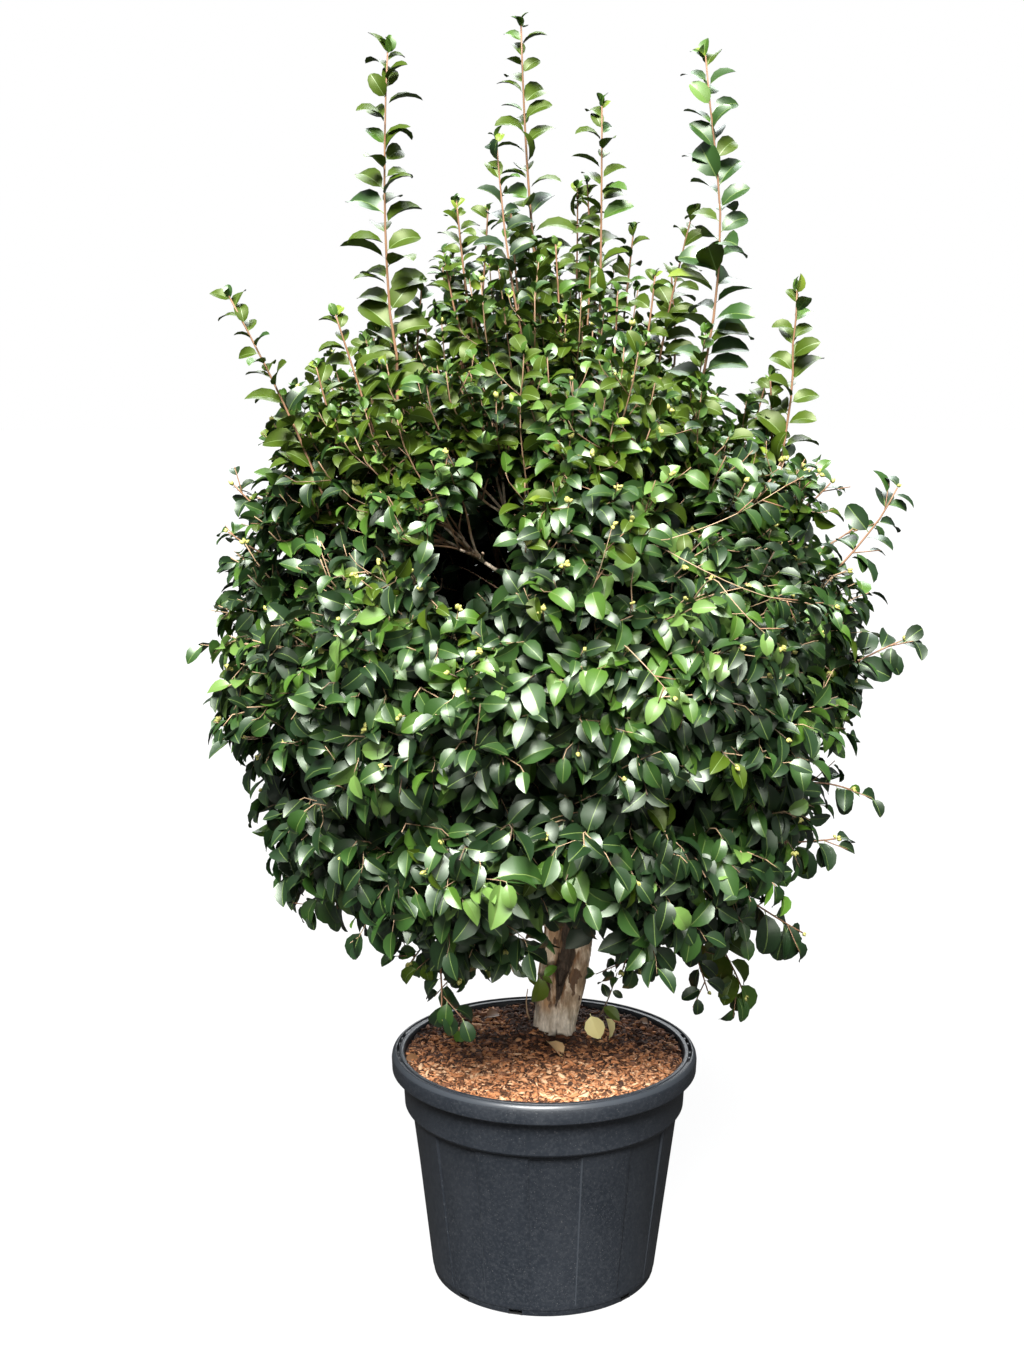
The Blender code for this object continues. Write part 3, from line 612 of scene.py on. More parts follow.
def bark_surface():
    """Grey-cream bark: a pale foot, a tan left stem, a cream right one and a dark furrow between them, the
    furrow's near-black and its brown margin painted shade in the crease.
    """
    made, tree, shader = new_material("camellia_bark", (0.40, 0.32, 0.23), 0.85)
    cream = mottle(tree, 30.0, 0.38, 0.58, upright=0.40)
    tan = mottle(tree, 24.0, 0.44, 0.58, upright=0.20)
    dark = mottle(tree, 34.0, 0.585, 0.615, upright=0.42, detail=4.0)
    grain = mottle(tree, 230.0, 0.30, 0.70, upright=0.25)
    x, y, z = axes_of(tree)

    def combine(operation, *values):
        return add_node(tree, "ShaderNodeMath", dict(enumerate(values)), operation=operation).outputs[0]

    side = combine("SUBTRACT", x, ramp(tree, z, *FURROW_LINE))
    wander = ramp(tree, mottle(tree, 55.0, 0.30, 0.70, upright=0.4), 0, 1, -0.005, 0.004)
    reach = combine("ADD", ramp(tree, z, 0.585, 0.680, -0.002, FURROW_HALF_WIDTH), wander)
    edge = combine("SUBTRACT", combine("ABSOLUTE", side), reach)
    low_part = combine("MULTIPLY", ramp(tree, z, 0.97, 0.93), ramp(tree, y, 0.140, 0.125))
    # A brown margin along the furrow's edges, painted shade leading into the crease
    rim = combine("MULTIPLY", ramp(tree, edge, 0.016, 0.004), mottle(tree, 75.0, 0.42, 0.56, upright=0.30))
    foot_colour = mix_colour(tree, (0.33, 0.28, 0.21), (0.78, 0.72, 0.62), cream)
    colour = layered(
        tree, (0.27, 0.195, 0.120),
        ((0.94, 0.79, 0.60), cream),
        ((0.43, 0.250, 0.118), combine("MULTIPLY", tan, ramp(tree, side, 0.004, -0.008, 0.10, 0.90))),
        ((0.105, 0.058, 0.031), dark),
        ((0.22, 0.112, 0.048), combine("MULTIPLY", rim, low_part)),
        (foot_colour, ramp(tree, z, 0.605, 0.572, 0.0, 0.85)),
        # Near-black painted shade inside the furrow, low on the front of the trunk
        ((0.032, 0.021, 0.013), combine("MULTIPLY", ramp(tree, edge, 0.0015, -0.002), low_part)),
    )
    shaded = mix_colour(tree, colour, (0.14, 0.10, 0.07), 0.40)
    join_up(tree, shader, mix_colour(tree, colour, shaded, grain), grain, 0.6, 0.0016)
    return made


# Camera, light and floor

def make_camera():
    data = bpy.data.cameras.new("camera")
    data.lens = CAMERA_LENS
    camera = bpy.data.objects.new("camera", data)
    camera.location = CAMERA_PLACE
    camera.rotation_euler = (math.pi / 2 - CAMERA_PITCH, 0, 0)
    bpy.context.scene.collection.objects.link(camera)
    bpy.context.scene.camera = camera


def add_lamp(name, kind, place, away, **settings):
    """A lamp that shines against a direction."""
    data = bpy.data.lights.new(name, kind)
    for key, value in settings.items():
        setattr(data, key, value)
    lamp = bpy.data.objects.new(name, data)
    lamp.location = place
    lamp.rotation_euler = away.to_track_quat("Z", "Y").to_euler()
    bpy.context.scene.collection.objects.link(lamp)


def make_lamps():
    for name, elevation, azimuth, spread, strength, colour in LAMPS:
        rise, turn = math.radians(elevation), math.radians(azimuth)
        away = Vector((math.cos(rise) * math.cos(turn), math.cos(rise) * math.sin(turn), math.sin(rise)))
        add_lamp(name, "SUN", (0, 0, 0), away, energy=strength, angle=math.radians(spread), color=colour)
    away = Vector(TRUNK_LAMP_PLACE) - Vector(TRUNK_LAMP_AIM)
    add_lamp("trunk_lamp", "SPOT", TRUNK_LAMP_PLACE, away, **TRUNK_LAMP)


def show_to_camera(tree, lit, seen, output):
    """Joins a shader that only the camera sees, and one for all other rays, to an output."""
    ray = add_node(tree, "ShaderNodeLightPath").outputs["Is Camera Ray"]
    both = add_node(tree, "ShaderNodeMixShader", {0: ray, 1: lit.outputs[0], 2: seen.outputs[0]})
    tree.links.new(both.outputs[0], tree.nodes[output].inputs["Surface"])


def make_sky():
    """White to the camera. What it lights is bright overhead and dim at the horizon."""
    world = bpy.data.worlds.new("studio")
    world.use_nodes = True
    tree = world.node_tree
    seen = tree.nodes["Background"]
    seen.inputs["Color"].default_value = WHITE
    seen.inputs["Strength"].default_value = BACKDROP_STRENGTH
    strength = ramp(tree, axes_of(tree, "Generated")["Z"], 0, 1, SKY_AT_HORIZON, SKY_OVERHEAD)
    sky = add_node(tree, "ShaderNodeBackground", {"Color": SKY_COLOUR, "Strength": strength})
    show_to_camera(tree, sky, seen, "World Output")
    bpy.context.scene.world = world
    bpy.context.scene.view_settings.view_transform = "Standard"


def make_floor():
    bpy.ops.mesh.primitive_circle_add(vertices=96, radius=FLOOR_RADIUS, fill_type="NGON")
    floor = bpy.context.object
    floor.name = "floor"
    made, tree, shader = new_material("pale_floor", (0.80, 0.80, 0.80), 0.9)
    glow = add_node(tree, "ShaderNodeEmission", {"Color": WHITE, "Strength": BACKDROP_STRENGTH})
    dim = add_node(tree, "ShaderNodeBsdfDiffuse", {"Color": FLOOR_BOUNCE})
    seen = add_node(tree, "ShaderNodeMixShader", {0: FLOOR_GLOW, 1: shader.outputs[0], 2: glow.outputs[0]})
    show_to_camera(tree, dim, seen, "Material Output")
    floor.data.materials.append(made)


# Modelling helpers

def select_only(obj=None):
    """Leaves edit mode and selects this object alone, or nothing."""
    if bpy.context.mode != "OBJECT":
        bpy.ops.object.mode_set(mode="OBJECT")
    bpy.ops.object.select_all(action="DESELECT")
    if obj:
        bpy.context.view_layer.objects.active = obj
        obj.select_set(True)


def start_edit(obj):
    select_only(obj)
    bpy.ops.object.mode_set(mode="EDIT")
    bpy.ops.mesh.select_mode(type="FACE")
    bpy.ops.mesh.select_all(action="DESELECT")


def end_edit():
    """Leaves edit mode with all faces pointing outwards."""
    bpy.ops.mesh.select_all(action="SELECT")
    bpy.ops.mesh.normals_make_consistent(inside=False)
    bpy.ops.object.mode_set(mode="OBJECT")


def pick_faces(obj, test):
    """Selects the faces of the mesh in edit mode that pass a test on middle and normal."""
    bm = bmesh.from_edit_mesh(obj.data)
    for face in bm.faces:
        face.select_set(bool(test(face.calc_center_median(), face.normal)))
    bmesh.update_edit_mesh(obj.data)


def apply_modifiers(obj):
    select_only(obj)
    for modifier in list(obj.modifiers):
        bpy.ops.object.modifier_apply(modifier=modifier.name)


def smooth_by_angle(obj, degrees):
    select_only(obj)
    bpy.ops.object.shade_smooth_by_angle(angle=math.radians(degrees))


def finish_piece(obj, material, nodes):
    if material:
        obj.data.materials.clear()
        obj.data.materials.append(material)
    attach(obj, "root")
    if nodes:
        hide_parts(*nodes)


# Pot

def body_radius(height):
    return BASE_RADIUS + (BAND_RADIUS - BAND_STEP - BASE_RADIUS) * height / BAND_FOOT_Z


def pot_rings():
    """Radius and height of each ring, from the underside up the outside and down the inside."""
    rim, top, band, foot = RIM_RADIUS, POT_HEIGHT, BAND_RADIUS, BAND_FOOT_Z
    rim_foot = top - RIM_DEPTH
    groove_start, groove_end, groove_depth = RIM_GROOVE
    rim_steps = (
        (0.0, 0.017), (0.0012, 0.0095), (0.0035, 0.0045), (0.0068, 0.0012), (0.0100, 0.0),
        (groove_start, 0.001), (groove_start + 0.001, groove_depth),
        (groove_end, groove_depth), (groove_end + 0.001, 0.002), (RIM_LIP - 0.003, 0.002), (RIM_LIP, 0.006),
    )
    return (
        (BASE_RADIUS - 0.006, 0.0),
        (BASE_RADIUS - 0.001, 0.002),
        (body_radius(FOOT_LINE_Z) - 0.0012, FOOT_LINE_Z - 0.001),
        (body_radius(FOOT_LINE_Z), FOOT_LINE_Z),
        (body_radius(PANEL_FOOT_Z), PANEL_FOOT_Z),
        (body_radius(PANEL_TOP_Z), PANEL_TOP_Z),
        (band - BAND_STEP, foot - BAND_STEP_HEIGHT),
        (band - 0.003, foot - 0.002),
        (band, foot + 0.003),
        (band + 0.004, rim_foot - 0.012),
        (band + 0.007, rim_foot - 0.002),
        (rim - 0.006, rim_foot - 0.001),
        (rim - 0.001, rim_foot + 0.003),
        *((rim - inward, top - down) for inward, down in rim_steps),
        (band - POT_WALL, rim_foot),
        (band - POT_WALL, foot),
        (body_radius(foot) - POT_WALL, foot - BAND_STEP_HEIGHT),
        (body_radius(0) - POT_WALL, POT_WALL),
    )


def draw_up(rings):
    """A closed vessel: each ring is pulled out of the last one and resized."""
    select_only()
    radius, height = rings[0]
    bpy.ops.mesh.primitive_circle_add(vertices=POT_SIDES, radius=radius, fill_type="NGON")
    vessel = bpy.context.object
    bpy.ops.object.mode_set(mode="EDIT")
    bpy.ops.mesh.select_all(action="SELECT")
    for next_radius, next_height in rings[1:]:
        bpy.ops.mesh.extrude_region_move(TRANSFORM_OT_translate={"value": (0, 0, next_height - height)})
        scale = next_radius / radius
        bpy.ops.transform.resize(value=(scale, scale, 1), center_override=(0, 0, next_height))
        radius, height = next_radius, next_height
    end_edit()
    return vessel


def degrees_round(place):
    return math.degrees(math.atan2(place.y, place.x))


def in_sunk_panel(middle, normal):
    outward = normal.x * middle.x + normal.y * middle.y > 0.5 * middle.xy.length
    turn = (degrees_round(middle) - PANEL_FIRST_EDGE) % 360
    return outward and PANEL_FOOT_Z < middle.z < PANEL_TOP_Z and int(turn // (360 / PANEL_COUNT)) % 2 == 0


def fade_panels(pot):
    """The panels are deepest under the band and run out to nothing at the foot."""
    bm = bmesh.from_edit_mesh(pot.data)
    for vertex in bm.verts:
        if PANEL_FOOT_Z + 0.001 < vertex.co.z < PANEL_FOOT_Z + PANEL_FADE:
            share = body_radius(vertex.co.z) / vertex.co.xy.length
            vertex.co.x *= share
            vertex.co.y *= share
    bmesh.update_edit_mesh(pot.data)


def in_rim_slot(middle, normal):
    """Short slots sunk into the groove of the rim's top, three on each side."""
    across = RIM_RADIUS - middle.xy.length
    turn = degrees_round(middle) % 180
    turn = min(turn, 180 - turn)
    in_groove = RIM_GROOVE[0] < across < RIM_GROOVE[1] and normal.z > 0.9 and middle.z > 0.5
    return in_groove and turn < RIM_SLOTS_REACH and turn % RIM_SLOT_PITCH < RIM_SLOT_LENGTH


def gets_painted_highlight(middle, normal):
    """Where a lighter plastic is a painted highlight: the rim's outer edges, and the side of each panel that
    faces the left of the front.
    """
    outward = middle.xy.normalized()
    across = outward.x * normal.y - outward.y * normal.x
    if PANEL_FOOT_Z < middle.z < PANEL_TOP_Z:
        return across < -0.35
    on_top = POT_HEIGHT - 0.0075 < middle.z < POT_HEIGHT - 0.0008 and middle.xy.length > RIM_RADIUS - 0.0075
    return on_top or (abs(middle.z - (POT_HEIGHT - RIM_DEPTH + 0.003)) < 0.0022 and normal.z < -0.3)


def notch_cutters():
    """Blocks that cut the drain notches, joined into one object."""
    select_only()
    blocks = []
    for index in range(NOTCH_PLACES):
        if index % NOTCH_GROUP == 1:
            continue
        turn = math.radians(NOTCH_FIRST + index * 360 / NOTCH_PLACES)
        place = (BASE_RADIUS * math.cos(turn), BASE_RADIUS * math.sin(turn), NOTCH_MIDDLE_Z)
        bpy.ops.mesh.primitive_cube_add(size=1, location=place, rotation=(0, 0, turn), scale=NOTCH_SIZE)
        blocks.append(bpy.context.object)
    for block in blocks:
        block.select_set(True)
    bpy.ops.object.join()
    return bpy.context.object


def make_pot():
    pot = draw_up(pot_rings())
    pot.name = "nursery_pot"
    start_edit(pot)
    pick_faces(pot, in_sunk_panel)
    bpy.ops.mesh.inset(thickness=PANEL_SLOPE, depth=-PANEL_DEPTH, use_even_offset=True)
    fade_panels(pot)
    pick_faces(pot, in_rim_slot)
    bpy.ops.mesh.inset(thickness=POT_EDGE_ROUNDING, depth=-RIM_SLOT_DEPTH, use_even_offset=True)
    bpy.ops.object.mode_set(mode="OBJECT")

    cutter = notch_cutters()
    pot.modifiers.new("notches", "BOOLEAN").object = cutter
    rounding = pot.modifiers.new("rounding", "BEVEL")
    rounding.width, rounding.segments, rounding.angle_limit = POT_EDGE_ROUNDING, 2, math.radians(24)
    apply_modifiers(pot)
    bpy.data.objects.remove(cutter)
    smooth_by_angle(pot, 30)
    finish_piece(pot, pot_plastic(), ["pot"])
    # Near-black plastic as painted shade in the drain notches and on the pot's floor and wall inside them
    pot.data.materials.append(plain("plastic_painted_shade", (0.003, 0.0035, 0.004), 0.9))
    # A lighter, smoother plastic whose lighter colour is a painted highlight on the rim's edges and the lit
    # panel sides
    pot.data.materials.append(plain("plastic_painted_highlight", (0.036, 0.042, 0.051), 0.34))
    for face in pot.data.polygons:
        in_notch = 0.0015 < face.center.z < 0.0135 and face.center.xy.length < BASE_RADIUS - 0.003
        face.material_index = 1 if in_notch else 2 * gets_painted_highlight(face.center, face.normal)


# Potting mix

def mix_height(x, y):
    """The mix is a little domed and uneven, and sinks towards the wall."""
    share = math.hypot(x, y) / MIX_RADIUS
    height = MIX_CROWN_Z + (MIX_EDGE_Z - MIX_CROWN_Z) * share ** 3
    height += 0.0060 * ripple(x * 14, y * 14, 3.0)
    height += MOUND[3] * math.exp(-(math.hypot(x - MOUND[0], y - MOUND[1]) / MOUND[2]) ** 2)
    return height + 0.0050 * ripple(x * 48, y * 48, 7.0)


def make_mix():
    select_only()
    bpy.ops.mesh.primitive_grid_add(x_subdivisions=MIX_GRID, y_subdivisions=MIX_GRID, size=2 * MIX_RADIUS)
    mix = bpy.context.object
    mix.name = "bark_mix"
    for vertex in mix.data.vertices:  # the square grid is drawn into a round one
        reach = max(abs(vertex.co.x), abs(vertex.co.y))
        if reach > 0:
            vertex.co.xy = vertex.co.xy.normalized() * reach
        vertex.co.z = mix_height(vertex.co.x, vertex.co.y)
    start_edit(mix)
    bpy.ops.mesh.select_all(action="SELECT")
    bpy.ops.mesh.region_to_loop()
    bpy.ops.mesh.extrude_region_move(TRANSFORM_OT_translate={"value": (0, 0, -MIX_SKIRT)})
    bpy.ops.transform.resize(value=(MIX_SKIRT_TAPER, MIX_SKIRT_TAPER, 1), center_override=(0, 0, 0))
    bpy.ops.mesh.edge_face_add()
    end_edit()
    smooth_by_angle(mix, 50)
    finish_piece(mix, mix_surface(), ["potting_mix"])


def chip_template():
    """A crumb of bark: an uneven, slightly bent slab with narrower ends."""
    points = []
    middle = RNG.uniform(-0.12, 0.12)
    for along, width, thick in ((-0.5, 0.15, 0.08), (middle, 0.31, 0.16), (0.5, 0.13, 0.07)):
        width *= RNG.uniform(0.7, 1.3)
        shift, lift = RNG.uniform(-0.08, 0.08), RNG.uniform(-0.06, 0.06)
        points += [(shift - width, along, lift), (shift, along, lift + thick),
                   (shift + width, along, lift), (shift, along, lift - thick)]
    pairs = [(row + side, row + (side + 1) % 4) for row in (0, 4) for side in range(4)]
    faces = [[near, near + 4, after + 4, after] for near, after in pairs]
    return template(points, [*faces, [0, 1, 2, 3], [11, 10, 9, 8]])


def make_chips():
    """Loose crumbs and splinters over the mix, paler towards the front as painted light, darker at the back
    and round the trunk as painted shade.
    """
    materials = [plain(name, colour, 0.85) for name, colour in CHIP_COLOURS]
    gathering = Gathering()
    templates = [chip_template() for _ in range(CHIP_SHAPES)]
    reach = np.sqrt(RNG.uniform(0, 1, CHIP_COUNT)) * (MIX_RADIUS - 0.004)
    turn = RNG.uniform(0, math.tau, CHIP_COUNT)
    x, y = reach * np.cos(turn), reach * np.sin(turn)
    length = RNG.gamma(4.0, 0.0024, CHIP_COUNT).clip(0.0045, 0.028)
    heights = np.array([mix_height(a, b) for a, b in zip(x, y)]) + RNG.uniform(0, 0.004, CHIP_COUNT)
    patches = np.array([ripple(a * 11, b * 11, 1) for a, b in zip(x, y)])
    clumps = np.array([ripple(a * 34, b * 34, 5) for a, b in zip(x, y)])
    # The slope from back to front and the darker patch round the trunk are painted light and shade; the
    # patches and clumps vary the chips' tones at random
    paleness = (-(y + 0.03) / MIX_RADIUS * 1.40).clip(-0.95, 0.55) + 0.75 * patches + 0.35 * clumps
    for (middle_x, middle_y, wide), much in ((TRUNK_SHADE_PATCH, -0.55), (PALE_PATCH, 1.6)):
        paleness += much * np.exp(-(np.hypot(x - middle_x, y - middle_y) / wide) ** 2)
    shade = (1.98 + 1.40 * paleness + RNG.normal(0, 0.95, CHIP_COUNT)).clip(0, len(materials) - 0.01).astype(int)
    lie = RNG.uniform(0, math.tau, CHIP_COUNT)
    flat = unit(np.stack([np.cos(lie), np.sin(lie), RNG.normal(0, 0.30, CHIP_COUNT)], -1))
    axes = frames(flat, UP + RNG.normal(0, 0.45, (CHIP_COUNT, 3)), length)
    scatter_kinds(gathering, templates, np.stack([x, y, heights], -1), axes, shade)
    finish_piece(gathering.build("bark_chips", materials), None, ["potting_mix"])


def make_fallen_leaves():
    """Single leaves: those on the sprigs beside the trunk, and a few dropped ones on the mix."""
    gathering = Gathering()
    leaves = [(leaf, "crown") for leaf in HANGING_LEAVES] + [(leaf, "fallen") for leaf in FALLEN_LEAVES]
    for (stalk, tip, facing, shade), form in leaves:
        stalk, along = np.array([stalk]), np.array([tip]) - [stalk]
        axes = frames(unit(along), np.array([facing]), np.linalg.norm(along, axis=1))
        *blade, ribs = leaf_template(form)
        scatter(gathering, (*blade, np.zeros_like(ribs)), stalk, axes, [shade])
    materials = [plain(name, colour, 0.5) for name, colour in FALLEN_COLOURS]
    finish_piece(gathering.build("fallen_leaves", materials), None, [])


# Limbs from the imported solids

def packed_mesh(node):
    """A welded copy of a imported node's mesh."""
    bm = bmesh.new()
    bm.from_mesh(NODES[node].data)
    bmesh.ops.remove_doubles(bm, verts=bm.verts, dist=1e-5)
    return bm


def limb_line(node, count):
    """Middles and radii at stations along a packed limb, from slices across its length, foot first."""
    bm = packed_mesh(node)
    points = np.array([v.co[:] for v in bm.verts])
    middle = points.mean(axis=0)
    axis = np.linalg.svd(points - middle)[2][0]
    reaches = (points - middle) @ axis
    ends = middle + axis * reaches.min(), middle + axis * reaches.max()
    if np.hypot(*(ends[1][:2] - TRUNK_MIDDLE)) < np.hypot(*(ends[0][:2] - TRUNK_MIDDLE)):
        ends = ends[::-1]
    if node.startswith(("stem", "shoot")):
        ends = sorted(ends, key=lambda end: end[2])
    line, radii = [], []
    for share in np.linspace(0.03, 0.985, count):
        place = blend(ends[0], ends[1], share)
        sliced = bm.copy()
        found = bmesh.ops.bisect_plane(
            sliced, geom=[*sliced.verts, *sliced.edges, *sliced.faces],
            plane_co=place, plane_no=ends[1] - ends[0],
        )
        ring = np.array([v.co[:] for v in found["geom_cut"] if isinstance(v, bmesh.types.BMVert)])
        sliced.free()
        if len(ring):
            line.append(ring.mean(axis=0))
            radii.append(np.linalg.norm(ring - line[-1], axis=1).mean())
    bm.free()
    return np.array(line), np.array(radii)


def bark_relief(place):
    """How far the bark stands out: long ribs, plates with sunk edges and a fine grain."""
    x, y, z = place
    ribs = 0.0024 * ripple(x * 46, y * 46, z * 7)
    edges = -0.0016 * math.exp(-(ripple(x * 70 + 5, y * 70, z * 26) / 0.10) ** 2)
    return ribs + edges + 0.0009 * ripple(x * 260, y * 260, z * 80)


def heart_line(lines):
    """Wood that fills the fork between the two front stems, a little behind them."""
    heights, radii = zip(*HEART_WOOD)
    fronts = (lines[name][0] for name in ("stem_left", "stem_right"))
    left, right = (points_at(heights, line[:, 2], line) for line in fronts)
    return (left + right) / 2 + (0.0, HEART_SET_BACK, 0.0), radii


def make_trunk_bark(lines):
    """The stems grown together at the foot, in one skin, with the relief in its mesh."""
    gathering = Gathering()
    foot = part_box("trunk")[0][2]
    for name, (x, y, radius, *swelling) in STEMS.items():
        line, radii = lines[name]
        low = line[:, 2] < BARK_TOP_Z
        points = [(x, y, foot - 0.004), (x, y, foot + 0.02), *line[low]]
        swell = np.interp(line[low][:, 2], *swelling)
        add_tube(gathering, points, [radius * FOOT_FLARE, radius, *radii[low] * swell], 24)
    add_tube(gathering, *heart_line(lines), 16)
    trunk = gathering.build("trunk_bark", [])
    skin = trunk.modifiers.new("skin", "REMESH")
    skin.mode, skin.voxel_size = "VOXEL", BARK_VOXEL
    trunk.modifiers.new("softer", "SMOOTH").iterations = BARK_SOFTENING
    apply_modifiers(trunk)
    bm = bmesh.new()
    bm.from_mesh(trunk.data)
    bm.normal_update()
    for vertex, normal in [(v, v.normal.copy()) for v in bm.verts]:
        vertex.co += normal * bark_relief(vertex.co)
        vertex.co.z = max(vertex.co.z, foot)
    bm.to_mesh(trunk.data)
    bm.free()
    smooth_by_angle(trunk, 60)
    finish_piece(trunk, bark_surface(), ["trunk", *STEM_MASSES])
    return trunk.data.materials[0]


def make_limb_bark(lines, bark):
    gathering = Gathering()
    for name, (line, radii) in lines.items():
        if name.startswith("stem"):
            high = line[:, 2] > BARK_TOP_Z - BARK_OVERLAP
            line, radii = line[high], radii[high]
        wobble = 1 + 0.10 * np.array([ripple(*point) for point in line * 30])
        add_tube(gathering, line, radii * wobble, LIMB_SIDES)
    finish_piece(gathering.build("limb_bark", []), bark, list(lines))


# Leaves

def half_width(share, tip_power):
    """Half width of the blade along its length: widest near the middle, drawn out to a tip."""
    widest = FOOT_POWER / (FOOT_POWER + tip_power)
    most = widest ** FOOT_POWER * (1 - widest) ** tip_power
    return share ** FOOT_POWER * (1 - share) ** tip_power / most


def leaf_template(form):
    """A blade folded along its rib and arched back, one unit long, its upper side towards +Z."""
    widths, folds, arches, tip_power, fine = LEAF_FORMS[form]
    width, fold, arch = RNG.uniform(*widths), RNG.uniform(*folds), RNG.uniform(*arches)
    twist, sway = RNG.uniform(-0.4, 0.4), RNG.uniform(-0.12, 0.12)
    shares = np.array((0.0, 0.12, 0.32, 0.54, 0.76, 0.91, 1.0) if fine else (0.0, 0.22, 0.5, 0.78, 1.0))
    across = np.array((-1.0, 0.0, 0.0, 1.0) if fine else (-1.0, 0.0, 1.0))
    bend = arch * shares
    lean = (bend[1:] + bend[:-1]) / 2
    blade = (1 - PETIOLE) * np.diff(shares)
    y = PETIOLE + np.cumsum(np.append(0, blade * np.cos(lean)))
    drop = -np.cumsum(np.append(0, blade * np.sin(lean)))
    rows = []
    for share, along, low, tip_lean in zip(shares, y, drop, bend):
        offset = across * max(width * half_width(share, tip_power), LEAST_HALF_WIDTH)
        if fine:
            offset[1:3] = -RIB_WIDTH, RIB_WIDTH
        lift = fold * np.abs(offset)
        turn = twist * share
        side = offset * math.cos(turn) - lift * math.sin(turn) + sway * share ** 2
        rise = offset * math.sin(turn) + lift * math.cos(turn)
        rows.append(np.stack([side, along + rise * math.sin(tip_lean), low + rise * math.cos(tip_lean)], -1))
    foot = [(-STALK_WIDTH, 0.0, 0.0), (STALK_WIDTH, 0.0, 0.0)]
    points = np.concatenate([*rows[:-1], rows[-1].mean(axis=0, keepdims=True), foot])
    levels, columns = len(shares) - 1, len(across)
    tip = levels * columns
    ribs = [fine and column == 1 for _ in range(levels) for column in range(columns - 1)]
    stalk = [tip + 1, tip + 2, columns - 1, 0]
    return template(points, [*faces_to_tip(levels, columns, False), stalk], [*ribs, True])


class Plant:
    """What has grown: wood in three gatherings, leaves spray by spray, forks to join to, and bud places."""

    def __init__(self):
        self.branches, self.twigs, self.shoots = Gathering(), Gathering(), Gathering()
        self.leaves, self.forks, self.buds = {}, [], []
        self.low, self.high = (np.array(corner) for corner in SIZE_AT_LOAD)

    def add_leaves(self, leaf, places, along, normals, lengths, tints):
        """Leaves in the crown's hollow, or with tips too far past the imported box, are left out."""
        tips = places + along * lengths[:, None]
        kept = ((tips > self.low - BOX_ROOM) & (tips < self.high + BOX_ROOM)).all(axis=1)
        kept &= ~in_hollow((places + along * lengths[:, None] / 2).T)
        row = [column[kept] for column in (places, along, normals, lengths, tints)]
        self.leaves.setdefault((leaf["region"], leaf["form"]), []).append(row)


def make_leaves(regions):
    """One object of leaves a region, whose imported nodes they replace."""
    materials = [
        plain(name, colour, roughness, **{"Specular IOR Level": sheen, "Specular Tint": (*sheen_tint, 1.0)})
        for name, (colour, roughness, sheen, sheen_tint) in LEAF_TINTS.items()
    ]
    for region, nodes in regions.items():
        gathering = Gathering()
        for form in LEAF_FORMS:
            if (region, form) in PLANT.leaves:
                rows = zip(*PLANT.leaves[region, form])
                places, along, normals, lengths, tints = (np.concatenate(column) for column in rows)
                shapes = [leaf_template(form) for _ in range(LEAF_SHAPES)]
                scatter_kinds(gathering, shapes, places, frames(along, normals, lengths), tints)
        leaves = gathering.build("leaves_" + region.removeprefix("foliage_"), materials)
        finish_piece(leaves, None, nodes)


PLANT = Plant()


def leafy_twig(path, light, leaf):
    """Sets leaves along a path: alternate, turned to the light, smaller at both ends.

    leaf holds region, form, zone, size, spacing, first (bare length), droop, spiral, spread, scatter,
    shrink and depth. It may hold shown, and tuft for young leaves at the tip."""
    reach = reach_along(path)
    spots = np.arange(leaf["first"], reach[-1], leaf["spacing"])
    count = len(spots)
    spots = spots + RNG.normal(0, leaf["spacing"] * 0.16, count)
    if count < 2:
        return
    places = points_at(spots, reach, path)
    along = unit(points_at(spots, reach, np.gradient(path, axis=0)))
    share = np.linspace(0, 1, count)
    side = unit(np.cross(along, light))
    over = np.cross(side, along)
    turn = np.arange(count) * leaf["spiral"] + RNG.uniform(0, math.tau) * (leaf["spiral"] != math.pi)
    turn = turn + RNG.normal(0, 0.42, count)
    away = unit(side * np.cos(turn)[:, None] + over * np.sin(turn)[:, None] * leaf["depth"])
    spread = np.radians(blend(leaf["spread"], TIP_SPREAD, share ** 2) + RNG.normal(0, 9, count))[:, None]
    direction = along * np.cos(spread) + away * np.sin(spread)
    direction = unit(direction - UP * (leaf["droop"] * RNG.uniform(-0.6, 2.6, count))[:, None])
    normal = light + UP * 0.20 + RNG.normal(0, leaf["scatter"], (count, 3))
    size = leaf["size"] * (1 - leaf["shrink"] * share ** 2) * (0.80 + 0.20 * np.minimum(1, share * 4))
    size = size * RNG.normal(1, 0.12, count).clip(0.7, 1.3)
    shares = TINT_SHARES[leaf["zone"]]
    tints = np.full(count, RNG.choice(len(shares), p=shares))
    stray = RNG.uniform(0, 1, count) < STRAY_TINTS
    tints[stray] = RNG.choice(len(shares), stray.sum(), p=shares)
    if RNG.uniform() < YOUNG_TIPS.get(leaf["zone"], 0):
        tints[-1:] = YOUNG_SLOT
        size[-1] *= 0.75
    if leaf.get("shown", True):
        PLANT.add_leaves(leaf, places, direction, normal, size, tints)
    if leaf.get("tuft"):
        ways = unit(along[-1] + RNG.normal(0, 0.28, (3, 3)))
        PLANT.add_leaves(
            leaf, path[-1] - along[-1] * RNG.uniform(0, 0.008, (3, 1)), ways, RNG.normal(0, 1, (3, 3)),
            leaf["size"] * RNG.uniform(0.30, 0.48, 3), RNG.choice(LIGHTER_TINTS, 3),
        )


# Growth

